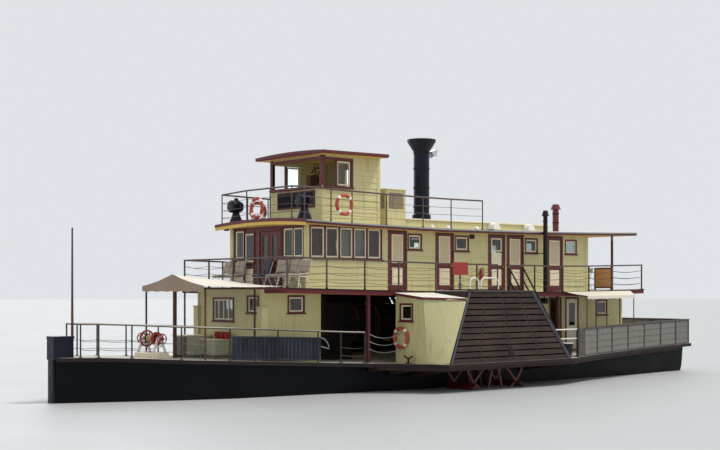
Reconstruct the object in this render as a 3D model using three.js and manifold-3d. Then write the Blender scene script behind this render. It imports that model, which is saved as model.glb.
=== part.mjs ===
// A side-wheel paddle steamer at full size: decked hull with wide paddle guards, two decks of
// cabins, wheelhouse, funnel, slatted paddle boxes and the rails, stairs and awnings around them.
// Millimetres, +Z up. The bow points to -X, starboard is +Y, and the flat bottom lies on z = 0.
// Fore-and-aft places are stations, measured aft from the stem, and heights are measured above
// the waterline, as on a builder's drawing; at() and wl() turn them into the part's own frame.

import * as THREE from 'three';
import { mergeVertices } from 'three/addons/utils/BufferGeometryUtils.js';
import Module from 'manifold-3d';

const wasm = await Module();
wasm.setup();

// Driving dimensions
const DRAFT = 1000;
const STEM_PROUD = 90;
const STERN_STATION = 27010;
const MIDSHIP = (STERN_STATION - STEM_PROUD) / 2;
const GAP = 0.4;
const SWING_GAP = 12;

const STRAKE = 120;
const GUARD_HALF = 5100;
const UPPER_HALF = 2950;
const UPPER_PLATE = 80;
const FASCIA = 160;
const CABIN_HALF = 2080;
const WALL = 60;
const ROOF_HALF = 2500;
const ROOF_EDGE = 120;
const ROOF_CAMBER = 100;
const RAIL_HEIGHT = 1000;
const POST = 50;

const WHEEL = {
  station: 13870,
  height: 1220,
  radius: 1880,
  rimRadius: 1380,
  rimDepth: 90,
  inner: 3160,
  outer: 4440,
  frames: [3330, 4270],
  frameThick: 50,
  arms: 12,
  floatDepth: 440,
  shaftRadius: 80,
};

// Main deck: station, half-breadth of its edge, height of its top above the water
const MAIN_DECK = [
  [0, 220, 1310],
  [1160, 800, 1300],
  [2200, 1260, 1262],
  [3300, 1740, 1200],
  [5000, 2260, 1130],
  [7200, 2560, 1030],
  [8500, 2820, 970],
  [9300, 3250, 945],
  [10050, 3800, 930],
  [10960, GUARD_HALF, 920],
  [16900, GUARD_HALF, 935],
  [19400, 4250, 965],
  [22800, 3450, 1030],
  [26000, 2980, 1095],
  [26850, 2860, 1115],
  [STERN_STATION, 2700, 1118],
];

// Hull: station, half-breadth at the deck, at the water, on the flat bottom, rise of the bottom
const HULL = [
  [0, 190, 150, 60, 0],
  [1160, 740, 660, 420, 0],
  [2200, 1180, 1120, 820, 0],
  [3300, 1680, 1600, 1280, 0],
  [5000, 2200, 2120, 1800, 0],
  [7200, 2500, 2420, 2120, 0],
  [9000, 2740, 2680, 2400, 0],
  [10800, 2960, 2940, 2680, 0],
  [13000, 3000, 3000, 2760, 0],
  [19000, 3000, 3000, 2760, 0],
  [21500, 2960, 2920, 2680, 40],
  [24000, 2840, 2780, 2560, 560],
  [24900, 2790, 2720, 2540, 800],
  [26500, 2700, 2640, 2540, 920],
];

// Upper deck: station, height of its top above the water
const UPPER_DECK = [
  [6200, 3330],
  [10000, 3260],
  [13000, 3215],
  [18600, 3200],
  [21000, 3240],
  [23600, 3310],
];

// Cabin roof: station, height of its edge above the water
const ROOF = [
  [7270, 5480],
  [9000, 5430],
  [13000, 5370],
  [17000, 5400],
  [20500, 5460],
  [23700, 5540],
];

// Cabin side windows: fore end, aft end, sill, head
const SIDE_WINDOWS = [
  [7790, 10720, 4310, 5280],
  [11970, 12520, 4670, 5130],
  [14180, 14770, 4670, 5130],
  [17770, 18360, 4670, 5130],
  [19990, 20560, 4670, 5130],
];

// Cabin side doors: fore end, aft end, and the end that carries the hinge
const SIDE_DOORS = [
  [11100, 11820, 'fore'],
  [13270, 14020, 'fore'],
  [15850, 16600, 'fore'],
  [16810, 17580, 'aft'],
  [18960, 19740, 'fore'],
];
const DOOR_SILL = 3272;
const DOOR_HEAD = 5240;
const DOOR_THICK = 42;
const DOOR_STILE = 110;

const at = (station) => station - MIDSHIP;
const wl = (height) => height + DRAFT;

function between(table, column, station) {
  let row = 1;
  while (row < table.length - 1 && table[row][0] < station) row += 1;
  const [before, after] = [table[row - 1], table[row]];
  const share = (station - before[0]) / (after[0] - before[0]);
  return before[column] + share * (after[column] - before[column]);
}
const deckEdge = (station) => between(MAIN_DECK, 1, station);
const mainTop = (station) => wl(between(MAIN_DECK, 2, station));
const upperTop = (station) => wl(between(UPPER_DECK, 1, station));
const roofEdge = (station) => wl(between(ROOF, 1, station));

// Turns a closed three.js geometry into a solid that can be joined and cut
function solid(geometry) {
  geometry.deleteAttribute('normal');
  geometry.deleteAttribute('uv');
  const merged = mergeVertices(geometry, 0.01);
  return new wasm.Manifold(new wasm.Mesh({
    numProp: 3,
    vertProperties: Float32Array.from(merged.attributes.position.array),
    triVerts: Uint32Array.from(merged.index.array),
  }));
}

function join(pieces) {
  return pieces.reduce((whole, piece) => whole.add(piece));
}

function cut(piece, tools) {
  return tools.reduce((rest, tool) => rest.subtract(tool), piece);
}

// Cuts the foot of a piece to the surface it stands on, or its head to what lies on it. The plate
// is cut away several times, each deeper, because a sheered plate is thinner than its rise.
const DEPTHS = [0, 60, 120];
const standOn = (piece, floor) => cut(piece, DEPTHS.map((d) => floor.translate([0, 0, GAP - d])));
const tuckUnder = (piece, roof) => cut(piece, DEPTHS.map((d) => roof.translate([0, 0, d - GAP])));

// The same piece on the other side of the ship
function mirrored(piece) {
  const mesh = piece.getMesh();
  const points = Float32Array.from(mesh.vertProperties);
  for (let i = 1; i < points.length; i += 3) points[i] = -points[i];
  const faces = Uint32Array.from(mesh.triVerts);
  for (let i = 0; i < faces.length; i += 3) [faces[i], faces[i + 1]] = [faces[i + 1], faces[i]];
  return new wasm.Manifold(new wasm.Mesh({ numProp: 3, vertProperties: points, triVerts: faces }));
}

function block(x0, x1, y0, y1, z0, z1) {
  const geometry = new THREE.BoxGeometry(x1 - x0, y1 - y0, z1 - z0);
  geometry.translate((x0 + x1) / 2, (y0 + y1) / 2, (z0 + z1) / 2);
  return solid(geometry);
}

// A straight bar of rectangular section between two points
function bar(from, to, width, height = width) {
  const start = new THREE.Vector3(...from);
  const end = new THREE.Vector3(...to);
  const along = end.clone().sub(start).normalize();
  const upright = Math.abs(along.z) > 0.99;
  const up = upright ? new THREE.Vector3(0, 1, 0) : new THREE.Vector3(0, 0, 1);
  const side = up.clone().cross(along).normalize();
  const top = along.clone().cross(side);
  const geometry = new THREE.BoxGeometry(start.distanceTo(end), width, height);
  geometry.applyMatrix4(new THREE.Matrix4().makeBasis(along, side, top));
  geometry.translate(...start.add(end).multiplyScalar(0.5).toArray());
  return solid(geometry);
}

// A round rod, cone or drum between two points
function rod(from, to, radius, sides = 12, endRadius = radius) {
  const start = new THREE.Vector3(...from);
  const end = new THREE.Vector3(...to);
  const geometry = new THREE.CylinderGeometry(endRadius, radius, start.distanceTo(end), sides);
  const along = end.clone().sub(start).normalize();
  const turn = new THREE.Quaternion().setFromUnitVectors(new THREE.Vector3(0, 1, 0), along);
  geometry.applyQuaternion(turn);
  geometry.translate(...start.add(end).multiplyScalar(0.5).toArray());
  return solid(geometry);
}

// A ring about an axis along X or Y, from a closed profile of radius and offset
function ring(centre, profile, sides, axis) {
  const points = profile.map(([radius, offset]) => new THREE.Vector2(radius, offset));
  points.push(points[0].clone());
  const geometry = new THREE.LatheGeometry(points, sides);
  if (axis === 'x') geometry.rotateZ(-Math.PI / 2);
  geometry.translate(...centre);
  return solid(geometry);
}

// A skin over rings of points that all have the same count, closed by a flat face at both ends.
// flat gives an end's points in its own plane, and is left out where each ring has four corners.
const FAN = [[0, 0], [1, 0], [1, 1], [0, 1]].map(([u, v]) => new THREE.Vector2(u, v));
function loft(rings, flat) {
  const count = rings[0].length;
  const points = rings.flat(2);
  const faces = [];
  for (let r = 0; r < rings.length - 1; r += 1) {
    for (let i = 0; i < count; i += 1) {
      const next = (i + 1) % count;
      const [a, b] = [r * count + i, r * count + next];
      faces.push(a, b, b + count, a, b + count, a + count);
    }
  }
  const outline = rings[0].map(flat || ((point, i) => FAN[i]));
  const last = (rings.length - 1) * count;
  const area = THREE.ShapeUtils.area(outline);
  for (const face of THREE.ShapeUtils.triangulateShape(outline, [])) {
    const sameWay = THREE.ShapeUtils.area(face.map((i) => outline[i])) * area > 0;
    const [a, b, c] = sameWay ? face : [...face].reverse();
    faces.push(a, c, b, last + a, last + b, last + c);
  }
  const turned = volumeOf(points, faces) < 0;
  if (turned) {
    for (let i = 0; i < faces.length; i += 3) [faces[i], faces[i + 1]] = [faces[i + 1], faces[i]];
  }
  const geometry = new THREE.BufferGeometry();
  geometry.setAttribute('position', new THREE.Float32BufferAttribute(points, 3));
  geometry.setIndex(faces);
  return solid(geometry);
}

function volumeOf(points, faces) {
  let total = 0;
  const corner = (i) => new THREE.Vector3(points[3 * i], points[3 * i + 1], points[3 * i + 2]);
  for (let i = 0; i < faces.length; i += 3) {
    const cross = corner(faces[i + 1]).cross(corner(faces[i + 2]));
    total += corner(faces[i]).dot(cross);
  }
  return total;
}

const flatYZ = ([, y, z]) => new THREE.Vector2(y, z);
const flatXY = ([x, y]) => new THREE.Vector2(x, y);
const flatXZ = ([x, , z]) => new THREE.Vector2(x, z);

// An outline in side view carried from y0 to y1
function sidePrism(outline, y0, y1) {
  return loft([y0, y1].map((y) => outline.map(([x, z]) => [x, y, z])), flatXZ);
}

const ship = new THREE.Group();

const PAINTS = {
  black: [0x17181b, 0.55, 0.0],
  timber: [0x54403a, 0.8, 0.0],
  deck: [0x8c857a, 0.85, 0.0],
  cream: [0xc9bf90, 0.6, 0.0],
  maroon: [0x5a1f22, 0.5, 0.0],
  slat: [0x3a2c2a, 0.8, 0.0],
  white: [0xe9e7e0, 0.7, 0.0],
  canvas: [0xf2f0ea, 0.9, 0.0],
  iron: [0x2b2a2c, 0.6, 0.3],
  navy: [0x1b2233, 0.4, 0.2],
  red: [0x8a2c26, 0.6, 0.1],
  steel: [0x6b7076, 0.5, 0.6],
};

function add(name, piece, paint) {
  const source = piece.getMesh();
  const geometry = new THREE.BufferGeometry();
  const points = new THREE.BufferAttribute(source.vertProperties, 3);
  geometry.setAttribute('position', points);
  geometry.setIndex(new THREE.BufferAttribute(source.triVerts, 1));
  geometry.computeVertexNormals();
  const [color, roughness, metalness] = PAINTS[paint];
  const material = new THREE.MeshStandardMaterial({ color, roughness, metalness, flatShading: true });
  const mesh = new THREE.Mesh(geometry, material);
  mesh.name = name;
  ship.add(mesh);
}

function addPair(name, piece, paint) {
  add(`${name}_starboard`, piece, paint);
  add(`${name}_port`, mirrored(piece), paint);
}

// Deck plate that follows the sheer, with an opening over each paddle wheel
function mainDeckSolid() {
  const rings = MAIN_DECK.map(([station, half, height]) => {
    const x = at(station) + (station === 0 ? GAP : 0);
    const top = wl(height);
    return [[x, -half, top - STRAKE], [x, half, top - STRAKE], [x, half, top], [x, -half, top]];
  });
  const reach = WHEEL.radius + 50;
  const wells = [-1, 1].map((side) => {
    const edges = [side * 3080, side * 4560].sort((a, b) => a - b);
    return block(at(WHEEL.station - reach), at(WHEEL.station + reach), ...edges, wl(700), wl(1100));
  });
  return cut(loft(rings, flatYZ), wells);
}

function hullSolid() {
  const rings = HULL.map(([station, deckHalf, waterHalf, bottomHalf, rise]) => {
    const x = at(station) + (station === 0 ? GAP : 0);
    const top = mainTop(station) - STRAKE / 2;
    const belt = Math.max(DRAFT, rise + 420);
    const half = [
      [bottomHalf, rise],
      [waterHalf - 20, rise + 280],
      [waterHalf, belt],
      [deckHalf, top],
    ];
    const starboard = half.map(([y, z]) => [x, y, z]);
    const port = half.map(([y, z]) => [x, -y, z]).reverse();
    return [...starboard, ...port];
  });
  return loft(rings, flatYZ);
}

// Knees and a stringer under the deck where it overhangs the hull
function guardSolid() {
  const stations = [9600, 10400, 11300, 16500, 17600, 18900, 20300, 21700, 23100, 24500, 25800];
  const underside = (station) => mainTop(station) - STRAKE - GAP;
  const hullSide = (station) => between(HULL, 1, station) + 6;
  const pieces = stations.map((station) => {
    const outer = deckEdge(station) - 60;
    const depth = 110 + 0.13 * (outer - hullSide(station));
    const top = underside(station) + STRAKE / 2;
    const points = [
      [hullSide(station), top],
      [outer, top],
      [outer, underside(station) - 90],
      [hullSide(station), underside(station) - depth],
    ];
    const rings = [-40, 40].map((shift) => points.map(([y, z]) => [at(station) + shift, y, z]));
    return loft(rings, flatYZ);
  });
  const run = [9600, 10050, 10960, 16900, 19400, 22800, 25800];
  const edge = run.map((station) => {
    const y = deckEdge(station) - 60;
    const z = underside(station);
    const x = at(station);
    return [[x, y - 90, z - 90], [x, y, z - 90], [x, y, z + 40], [x, y - 90, z + 40]];
  });
  pieces.push(loft(edge, flatYZ));
  return join(pieces);
}

// Upper deck plate with a deeper fascia round its edge
function upperDeckSolid() {
  const half = UPPER_HALF;
  const rings = UPPER_DECK.map(([station, height]) => {
    const x = at(station);
    const top = wl(height);
    return [
      [x, -half, top - FASCIA], [x, -half + 40, top - FASCIA], [x, -half + 40, top - UPPER_PLATE],
      [x, half - 40, top - UPPER_PLATE], [x, half - 40, top - FASCIA], [x, half, top - FASCIA],
      [x, half, top], [x, -half, top],
    ];
  });
  const first = UPPER_DECK[0];
  const last = UPPER_DECK[UPPER_DECK.length - 1];
  const ends = [[first, 0, 40], [last, -40, 0]].map(([[station, height], from, to]) => {
    const top = wl(height);
    return block(at(station) + from, at(station) + to, -half, half, top - FASCIA, top - 20);
  });
  return join([loft(rings, flatYZ), ...ends]);
}

function roofSolid(table, half, edge, camber) {
  const rings = table.map(([station, height]) => {
    const x = at(station);
    const z = wl(height);
    return [
      [x, -half, z - edge], [x, half, z - edge], [x, half, z], [x, half * 0.55, z + camber * 0.7],
      [x, 0, z + camber], [x, -half * 0.55, z + camber * 0.7], [x, -half, z],
    ];
  });
  return loft(rings, flatYZ);
}

const mainDeck = mainDeckSolid();
const upperDeck = upperDeckSolid();
const roof = roofSolid(ROOF, ROOF_HALF, ROOF_EDGE, ROOF_CAMBER);

// Hull, stem, deck and guards
function addHull() {
  const trunk = rod([at(25200), 0, 600], [at(25200), 0, 1400], 58, 16);
  add('hull', cut(tuckUnder(hullSolid(), mainDeck), [trunk]), 'black');
  const stemTop = mainTop(0) - STRAKE;
  const timber = block(at(-STEM_PROUD), at(0) - GAP, -140, 140, 0, stemTop + STRAKE + 300);
  const head = block(at(-STEM_PROUD), at(540), -210, 210, stemTop + 60, wl(1930));
  const cap = block(at(-STEM_PROUD), at(560), -235, 235, wl(1850), wl(1930));
  add('stem_post', join([timber, standOn(join([head, cap]), mainDeck)]), 'navy');
  add('main_deck', mainDeck, 'deck');
  addPair('paddle_guard', tuckUnder(guardSolid(), mainDeck), 'timber');
}

function addRudder() {
  const stock = rod([at(25200), 0, 300], [at(25200), 0, 1150], 50, 16);
  const blade = block(at(24920), at(26200), -25, 25, 220, 770);
  add('rudder', join([stock, blade]), 'iron');
}

// Shaft and one side wheel: two rimmed frames of arms that carry the floats between them
function addPaddleWheels() {
  const x = at(WHEEL.station);
  const z = wl(WHEEL.height);
  const shaft = (radius) => rod([x, -4700, z], [x, 4700, z], radius, 16);
  add('paddle_shaft', shaft(WHEEL.shaftRadius), 'iron');
  const pieces = [];
  for (const y of WHEEL.frames) {
    const halfThick = WHEEL.frameThick / 2;
    pieces.push(rod([x, y - 90, z], [x, y + 90, z], 250, 12));
    const rim = [
      [WHEEL.rimRadius, -halfThick], [WHEEL.rimRadius + WHEEL.rimDepth, -halfThick],
      [WHEEL.rimRadius + WHEEL.rimDepth, halfThick], [WHEEL.rimRadius, halfThick],
    ];
    pieces.push(ring([x, y, z], rim, 24, 'y'));
  }
  for (let arm = 0; arm < WHEEL.arms; arm += 1) {
    const angle = (arm + 0.5) * 2 * Math.PI / WHEEL.arms;
    const out = (radius, y) => [x + radius * Math.cos(angle), y, z + radius * Math.sin(angle)];
    for (const y of WHEEL.frames) {
      pieces.push(bar(out(200, y), out(WHEEL.rimRadius + 40, y), WHEEL.frameThick - 6, 80));
    }
    const mid = (WHEEL.inner + WHEEL.outer) / 2;
    const width = WHEEL.outer - WHEEL.inner;
    pieces.push(bar(out(WHEEL.radius - WHEEL.floatDepth, mid), out(WHEEL.radius, mid), width, 36));
  }
  const wheel = join(pieces).subtract(shaft(WHEEL.shaftRadius + GAP));
  addPair('paddle_wheel', wheel, 'red');
}

// Paddle box: a slatted outer face that leans inboard, with raked ends, a top and an inner wall
const BOX = {
  foot: 925,
  top: 3240,
  foreFoot: 11000,
  foreTop: 12300,
  aftFoot: 16800,
  aftTop: 15400,
  outFoot: 5060,
  outTop: 4590,
  inner: 2972,
  slats: 12,
  slatThick: 40,
  skin: 50,
};

function boxAt(height) {
  const share = (height - BOX.foot) / (BOX.top - BOX.foot);
  const mix = (low, high) => low + share * (high - low);
  return {
    fore: at(mix(BOX.foreFoot, BOX.foreTop)),
    aft: at(mix(BOX.aftFoot, BOX.aftTop)),
    out: mix(BOX.outFoot, BOX.outTop),
    z: wl(height),
  };
}

// A board between two heights of the box, from offsets along X and Y at either height
function board(low, high, place) {
  const rings = [low, high].map((height) => {
    const b = boxAt(height);
    const [x0, x1, y0, y1] = place(b);
    return [[x0, y0, b.z], [x1, y0, b.z], [x1, y1, b.z], [x0, y1, b.z]];
  });
  return loft(rings, flatXY);
}

function addPaddleBoxes() {
  const pieces = [];
  const step = (BOX.top - BOX.foot) / BOX.slats;
  const thick = BOX.slatThick;
  for (let i = 0; i < BOX.slats; i += 1) {
    const low = BOX.foot + i * step;
    const high = low + step * 0.78;
    pieces.push(board(low, high, (b) => [b.fore + 20, b.aft - 20, b.out - thick, b.out]));
  }
  for (const share of [0.25, 0.5, 0.75]) {
    const inner = (b) => b.fore + share * (b.aft - b.fore);
    pieces.push(board(BOX.foot, BOX.top - 10, (b) => {
      return [inner(b) - 45, inner(b) + 45, b.out - thick - 60, b.out - thick + 8];
    }));
  }
  const foot = BOX.foot - 60;
  const top = BOX.top;
  const skin = BOX.skin;
  pieces.push(board(foot, top, (b) => [b.fore, b.fore + 130, b.out - thick - 30, b.out + 15]));
  pieces.push(board(foot, top, (b) => [b.aft - 130, b.aft, b.out - thick - 30, b.out + 15]));
  pieces.push(board(foot, top, (b) => [b.fore, b.fore + skin, BOX.inner, b.out - 10]));
  pieces.push(board(foot, top, (b) => [b.aft - skin, b.aft, BOX.inner, b.out - 10]));
  pieces.push(board(foot, top, (b) => [b.fore, b.aft, BOX.inner, BOX.inner + skin]));
  pieces.push(board(top - 60, top, (b) => [b.fore, b.aft, BOX.inner, b.out + 10]));
  const x = at(WHEEL.station);
  const axle = wl(WHEEL.height);
  pieces.push(block(x - 170, x + 170, 4600, 4960, wl(BOX.foot - 60), axle + 190));
  const bore = rod([x, 2500, axle], [x, 4720, axle], WHEEL.shaftRadius + 8, 16);
  addPair('paddle_box', standOn(join(pieces).subtract(bore), mainDeck), 'slat');
}

// Deckhouse on the guard ahead of each paddle box, its aft end closed by the box. The front
// corner leans inboard, and the side wall flares out from it to the raked fore edge of the box.
const SPONSON = {
  front: 10600,
  foot: 860,
  outFoot: 4470,
  outTop: 4240,
  roofIn: 3120,
  roofOut: 2990,
  plate: 50,
  eaves: 60,
  light: [3230, 3750, 2310, 2790],
};

// Body between the house's foot and above its roof, its walls moved in by thick, its aft end
// moved past the face of the box
function sponsonBody(thick, inner, past) {
  const s = SPONSON;
  const levels = 6;
  const rings = Array.from({ length: levels + 1 }, (_, i) => {
    const height = s.foot - 40 + i * (s.roofIn + 140 - s.foot) / levels;
    const b = boxAt(height);
    const share = (height - BOX.foot) / (s.roofOut - BOX.foot);
    const corner = s.outFoot + share * (s.outTop - s.outFoot);
    const aft = b.fore - GAP;
    const slope = (b.out - corner) / (aft - at(s.front));
    const wall = (x) => corner + slope * (x - at(s.front)) - thick * Math.hypot(1, slope);
    const ends = [at(s.front) + thick, aft + past];
    return [
      [ends[0], inner, b.z], [ends[1], inner, b.z], [ends[1], wall(ends[1]), b.z],
      [ends[0], wall(ends[0]), b.z],
    ];
  });
  return loft(rings, flatXY);
}

function addSponsonHouses() {
  const s = SPONSON;
  const fall = (s.roofIn - s.roofOut) / (s.outTop - BOX.inner);
  const roofAt = (y) => wl(s.roofIn - fall * (y - BOX.inner));
  const band = (low, high) => {
    const [inner, out] = [BOX.inner - 5, BOX.outFoot];
    const section = [
      [inner, low(inner)], [out, low(out)], [out, high(out)], [inner, high(inner)],
    ];
    return loft([s.front - 200, BOX.foreTop].map((station) => {
      return section.map(([y, z]) => [at(station), y, z]);
    }), flatYZ);
  };
  const foot = () => wl(s.foot);
  const body = sponsonBody(0, BOX.inner, 0).intersect(band(foot, roofAt));
  const room = sponsonBody(WALL, BOX.inner + WALL, WALL)
    .intersect(band(() => foot() - 50, (y) => roofAt(y) - WALL));
  const plate = sponsonBody(-s.eaves, BOX.inner, 0)
    .intersect(band((y) => roofAt(y) - 5, (y) => roofAt(y) + s.plate));
  const [y0, y1, low, high] = s.light;
  const light = block(at(s.front - 10), at(s.front + WALL + 20), y0, y1, wl(low), wl(high));
  const house = cut(body, [room, light]).add(plate);
  addPair('sponson_house', standOn(house, mainDeck), 'cream');
}

// Four walls on a rectangle in plan
function walls(x0, x1, half, z0, z1, thick = WALL) {
  const outer = block(x0, x1, -half, half, z0, z1);
  return outer.subtract(block(x0 + thick, x1 - thick, -half + thick, half - thick, z0 - 10, z1 + 10));
}

// An opening through the starboard or port wall of a house: stations, then heights
function sideHole(x0, x1, half, low, high, side) {
  const reach = [side * (half - WALL - 40), side * (half + 40)].sort((a, b) => a - b);
  return block(at(x0), at(x1), ...reach, wl(low), wl(high));
}
function endHole(station, y0, y1, low, high) {
  return block(at(station) - 100, at(station) + 100, y0, y1, wl(low), wl(high));
}

// Deckhouses on the main deck. Openings are given as their two edges, then sill and head
const FORE_HOUSE = {
  fore: 6100, aft: 8400, half: 1800, foot: 900, head: 3290,
  frontLights: [[-240, 850, 2310, 2980], [-1600, -1070, 2590, 3050]],
  door: [-400, 400, 1060, 2960],
  sideLight: [7150, 7710, 2580, 3050],
};
const AFT_HOUSE = {
  fore: 17050, aft: 23300, half: 2100, foot: 860, head: 3250,
  door: [-400, 400, 1010, 2950],
  sideOpenings: [[19090, 19660, 1010, 2950], [21800, 22350, 2350, 2850]],
};
const LOWER_DOOR = { fore: 20000, aft: 20640, sill: 1010, head: 2950 };

function addLowerHouses() {
  const fit = (piece) => tuckUnder(standOn(piece, mainDeck), upperDeck);
  const around = (h) => walls(at(h.fore), at(h.aft), h.half, wl(h.foot), wl(h.head));
  const sides = [-1, 1];
  const f = FORE_HOUSE;
  const foreHoles = [
    ...f.frontLights.map((light) => endHole(f.fore, ...light)),
    endHole(f.aft, ...f.door),
    ...sides.map((side) => {
      const [x0, x1, sill, head] = f.sideLight;
      return sideHole(x0, x1, f.half, sill, head, side);
    }),
  ];
  add('fore_deckhouse', fit(cut(around(f), foreHoles)), 'cream');

  const a = AFT_HOUSE;
  const door = [LOWER_DOOR.fore, LOWER_DOOR.aft, LOWER_DOOR.sill, LOWER_DOOR.head];
  const aftHoles = sides.flatMap((side) => [...a.sideOpenings, door].map(([x0, x1, sill, head]) => {
    return sideHole(x0, x1, a.half, sill, head, side);
  }));
  aftHoles.push(endHole(a.fore, ...a.door));
  add('aft_deckhouse', fit(cut(around(a), aftHoles)), 'cream');
}

// Boiler with its firebox, over the paddle shaft and under the funnel
function addBoiler() {
  const [axis, radius] = [2150, 640];
  const foot = 880;
  const drum = rod([at(10300), 0, wl(axis)], [at(14900), 0, wl(axis)], radius, 20);
  const firebox = block(at(9500), at(10700), 20 - radius, radius - 20, wl(foot), wl(2850));
  const saddle = block(at(14450), at(14800), -480, 480, wl(foot), wl(1800));
  add('boiler', standOn(join([drum, firebox, saddle]), mainDeck), 'iron');
}

// Upper deck, with the posts that carry it standing on the main deck
function addUpperDeck() {
  const postOut = 2820;
  const posts = [9550, 18680].flatMap((station) => [-postOut, postOut].map((y) => {
    const foot = mainTop(station) - 30;
    return block(at(station) - POST, at(station) + POST, y - POST, y + POST, foot, upperTop(station) - 40);
  }));
  add('upper_deck', join([upperDeck, standOn(join(posts), mainDeck)]), 'maroon');
}

const CABIN = { fore: 7600, aft: 21240 };
const FRONT_DOORS = { port: -720, middle: -170, starboard: 385 };

// End walls of the upper cabin: openings as their two edges, then sill and head
const CABIN_END = {
  foot: 3120,
  head: 5400,
  fore: [[-1960, -880, 4310, 5270], [735, 1250, 4200, 5150], [1300, 1840, 4310, 5270]],
  foreDoor: [3330, 5200],
  aft: [[-1500, -700, 4310, 5200], [700, 1500, 4310, 5200]],
  aftDoorHalf: 380,
};

function addUpperCabin() {
  const fit = (piece) => tuckUnder(standOn(piece, upperDeck), roof);
  const low = wl(CABIN_END.foot);
  const high = wl(CABIN_END.head);
  const half = CABIN_HALF;
  const side = block(at(CABIN.fore), at(CABIN.aft), half - WALL, half, low, high);
  const holes = SIDE_WINDOWS.map(([x0, x1, sill, head]) => sideHole(x0, x1, half, sill, head, 1));
  for (const [x0, x1] of SIDE_DOORS) holes.push(sideHole(x0, x1, half, DOOR_SILL, DOOR_HEAD, 1));
  addPair('cabin_side', fit(cut(side, holes)), 'cream');

  const inner = half - WALL - GAP;
  const front = block(at(CABIN.fore), at(CABIN.fore) + WALL, -inner, inner, low, high);
  const frontHoles = [
    endHole(CABIN.fore, FRONT_DOORS.port, FRONT_DOORS.starboard, ...CABIN_END.foreDoor),
    ...CABIN_END.fore.map((light) => endHole(CABIN.fore, ...light)),
  ];
  add('cabin_front', fit(cut(front, frontHoles)), 'maroon');

  const back = block(at(CABIN.aft) - WALL, at(CABIN.aft), -inner, inner, low, high);
  const backHoles = [
    endHole(CABIN.aft, -CABIN_END.aftDoorHalf, CABIN_END.aftDoorHalf, DOOR_SILL + 20, DOOR_HEAD),
    ...CABIN_END.aft.map((light) => endHole(CABIN.aft, ...light)),
  ];
  add('cabin_aft', fit(cut(back, backHoles)), 'cream');
}

// A panelled door leaf with an opening for its glass, flush with the outside of its wall
function leafAlongX(x0, x1, outside, sill, head, lightSill) {
  const leaf = block(x0 + SWING_GAP, x1 - SWING_GAP, outside - DOOR_THICK, outside, sill, head);
  const light = block(
    x0 + DOOR_STILE, x1 - DOOR_STILE, outside - 100, outside + 100, lightSill, head - DOOR_STILE,
  );
  return leaf.subtract(light);
}

function addDoors() {
  SIDE_DOORS.forEach(([x0, x1], index) => {
    const sill = wl(DOOR_SILL) + SWING_GAP;
    const head = wl(DOOR_HEAD) - SWING_GAP;
    const leaf = leafAlongX(at(x0), at(x1), CABIN_HALF, sill, head, wl(4180));
    addPair(`cabin_door_${index + 1}`, leaf, 'maroon');
  });
  const { port, middle, starboard } = FRONT_DOORS;
  const pair = [['saloon_door_port', port, middle], ['saloon_door_starboard', middle, starboard]];
  for (const [name, y0, y1] of pair) {
    const x = at(CABIN.fore);
    const leaf = block(x, x + DOOR_THICK, y0 + 10, y1 - 10, wl(3342), wl(5188));
    const light = block(x - 50, x + 100, y0 + 95, y1 - 95, wl(4200), wl(5080));
    add(name, leaf.subtract(light), 'maroon');
  }
  const { fore, aft, sill, head } = LOWER_DOOR;
  const leaf = leafAlongX(
    at(fore), at(aft), AFT_HOUSE.half, wl(sill) + SWING_GAP + 10, wl(head) - SWING_GAP, wl(1900),
  );
  addPair('aft_door', leaf, 'white');
}

function addRoof() {
  const station = 22300;
  const half = 35;
  const posts = [-1, 1].map((side) => {
    const x = at(station);
    const y = side * (ROOF_HALF - 70);
    return block(x - half, x + half, y - half, y + half, upperTop(station) - 30, roofEdge(station) - 60);
  });
  add('cabin_roof', join([roof, standOn(join(posts), upperDeck)]), 'white');
}

const HOUSE = { fore: 8800, aft: 11250, half: 1400, sill: 6690, head: 7530, wallTop: 7750 };
const HOUSE_ROOF = { table: [[8485, 7770], [11275, 7800]], half: 1845, edge: 100, camber: 60 };
const HOUSE_SIDE_LIGHT = [8910, 10000];
const HOUSE_DOOR = { half: 350, sill: 5700, head: 7450 };
const HELM = { station: 9700, height: 7010, radius: 490, spokes: 8, stand: [-380, -80] };

function addWheelhouse() {
  const outer = walls(at(HOUSE.fore), at(HOUSE.aft), HOUSE.half, wl(5380), wl(HOUSE.wallTop));
  const holes = [
    endHole(HOUSE.fore, -HOUSE.half + 110, HOUSE.half - 110, HOUSE.sill, HOUSE.head),
    endHole(HOUSE.aft, -HOUSE_DOOR.half, HOUSE_DOOR.half, HOUSE_DOOR.sill, HOUSE_DOOR.head),
    ...[-1, 1].map((side) => sideHole(...HOUSE_SIDE_LIGHT, HOUSE.half, HOUSE.sill, HOUSE.head, side)),
  ];
  const cap = roofSolid(HOUSE_ROOF.table, HOUSE_ROOF.half, HOUSE_ROOF.edge, HOUSE_ROOF.camber);
  add('wheelhouse', tuckUnder(standOn(cut(outer, holes), roof), cap), 'cream');
  add('wheelhouse_roof', cap, 'maroon');

  const x = at(HELM.station);
  const z = wl(HELM.height);
  const pieces = [rod([x - 60, 0, z], [x + 60, 0, z], 75, 12)];
  const rim = [[370, -25], [415, -25], [415, 25], [370, 25]];
  pieces.push(ring([x, 0, z], rim, 24, 'x'));
  for (let spoke = 0; spoke < HELM.spokes; spoke += 1) {
    const angle = (spoke + 0.5) * 2 * Math.PI / HELM.spokes;
    const tip = [x, HELM.radius * Math.cos(angle), z + HELM.radius * Math.sin(angle)];
    pieces.push(bar([x, 0, z], tip, 30));
  }
  add('helm', join(pieces), 'iron');
  const stand = block(x + HELM.stand[0], x + HELM.stand[1], -110, 110, wl(5400), z + 130);
  add('helm_stand', standOn(stand, roof), 'timber');
}

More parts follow.
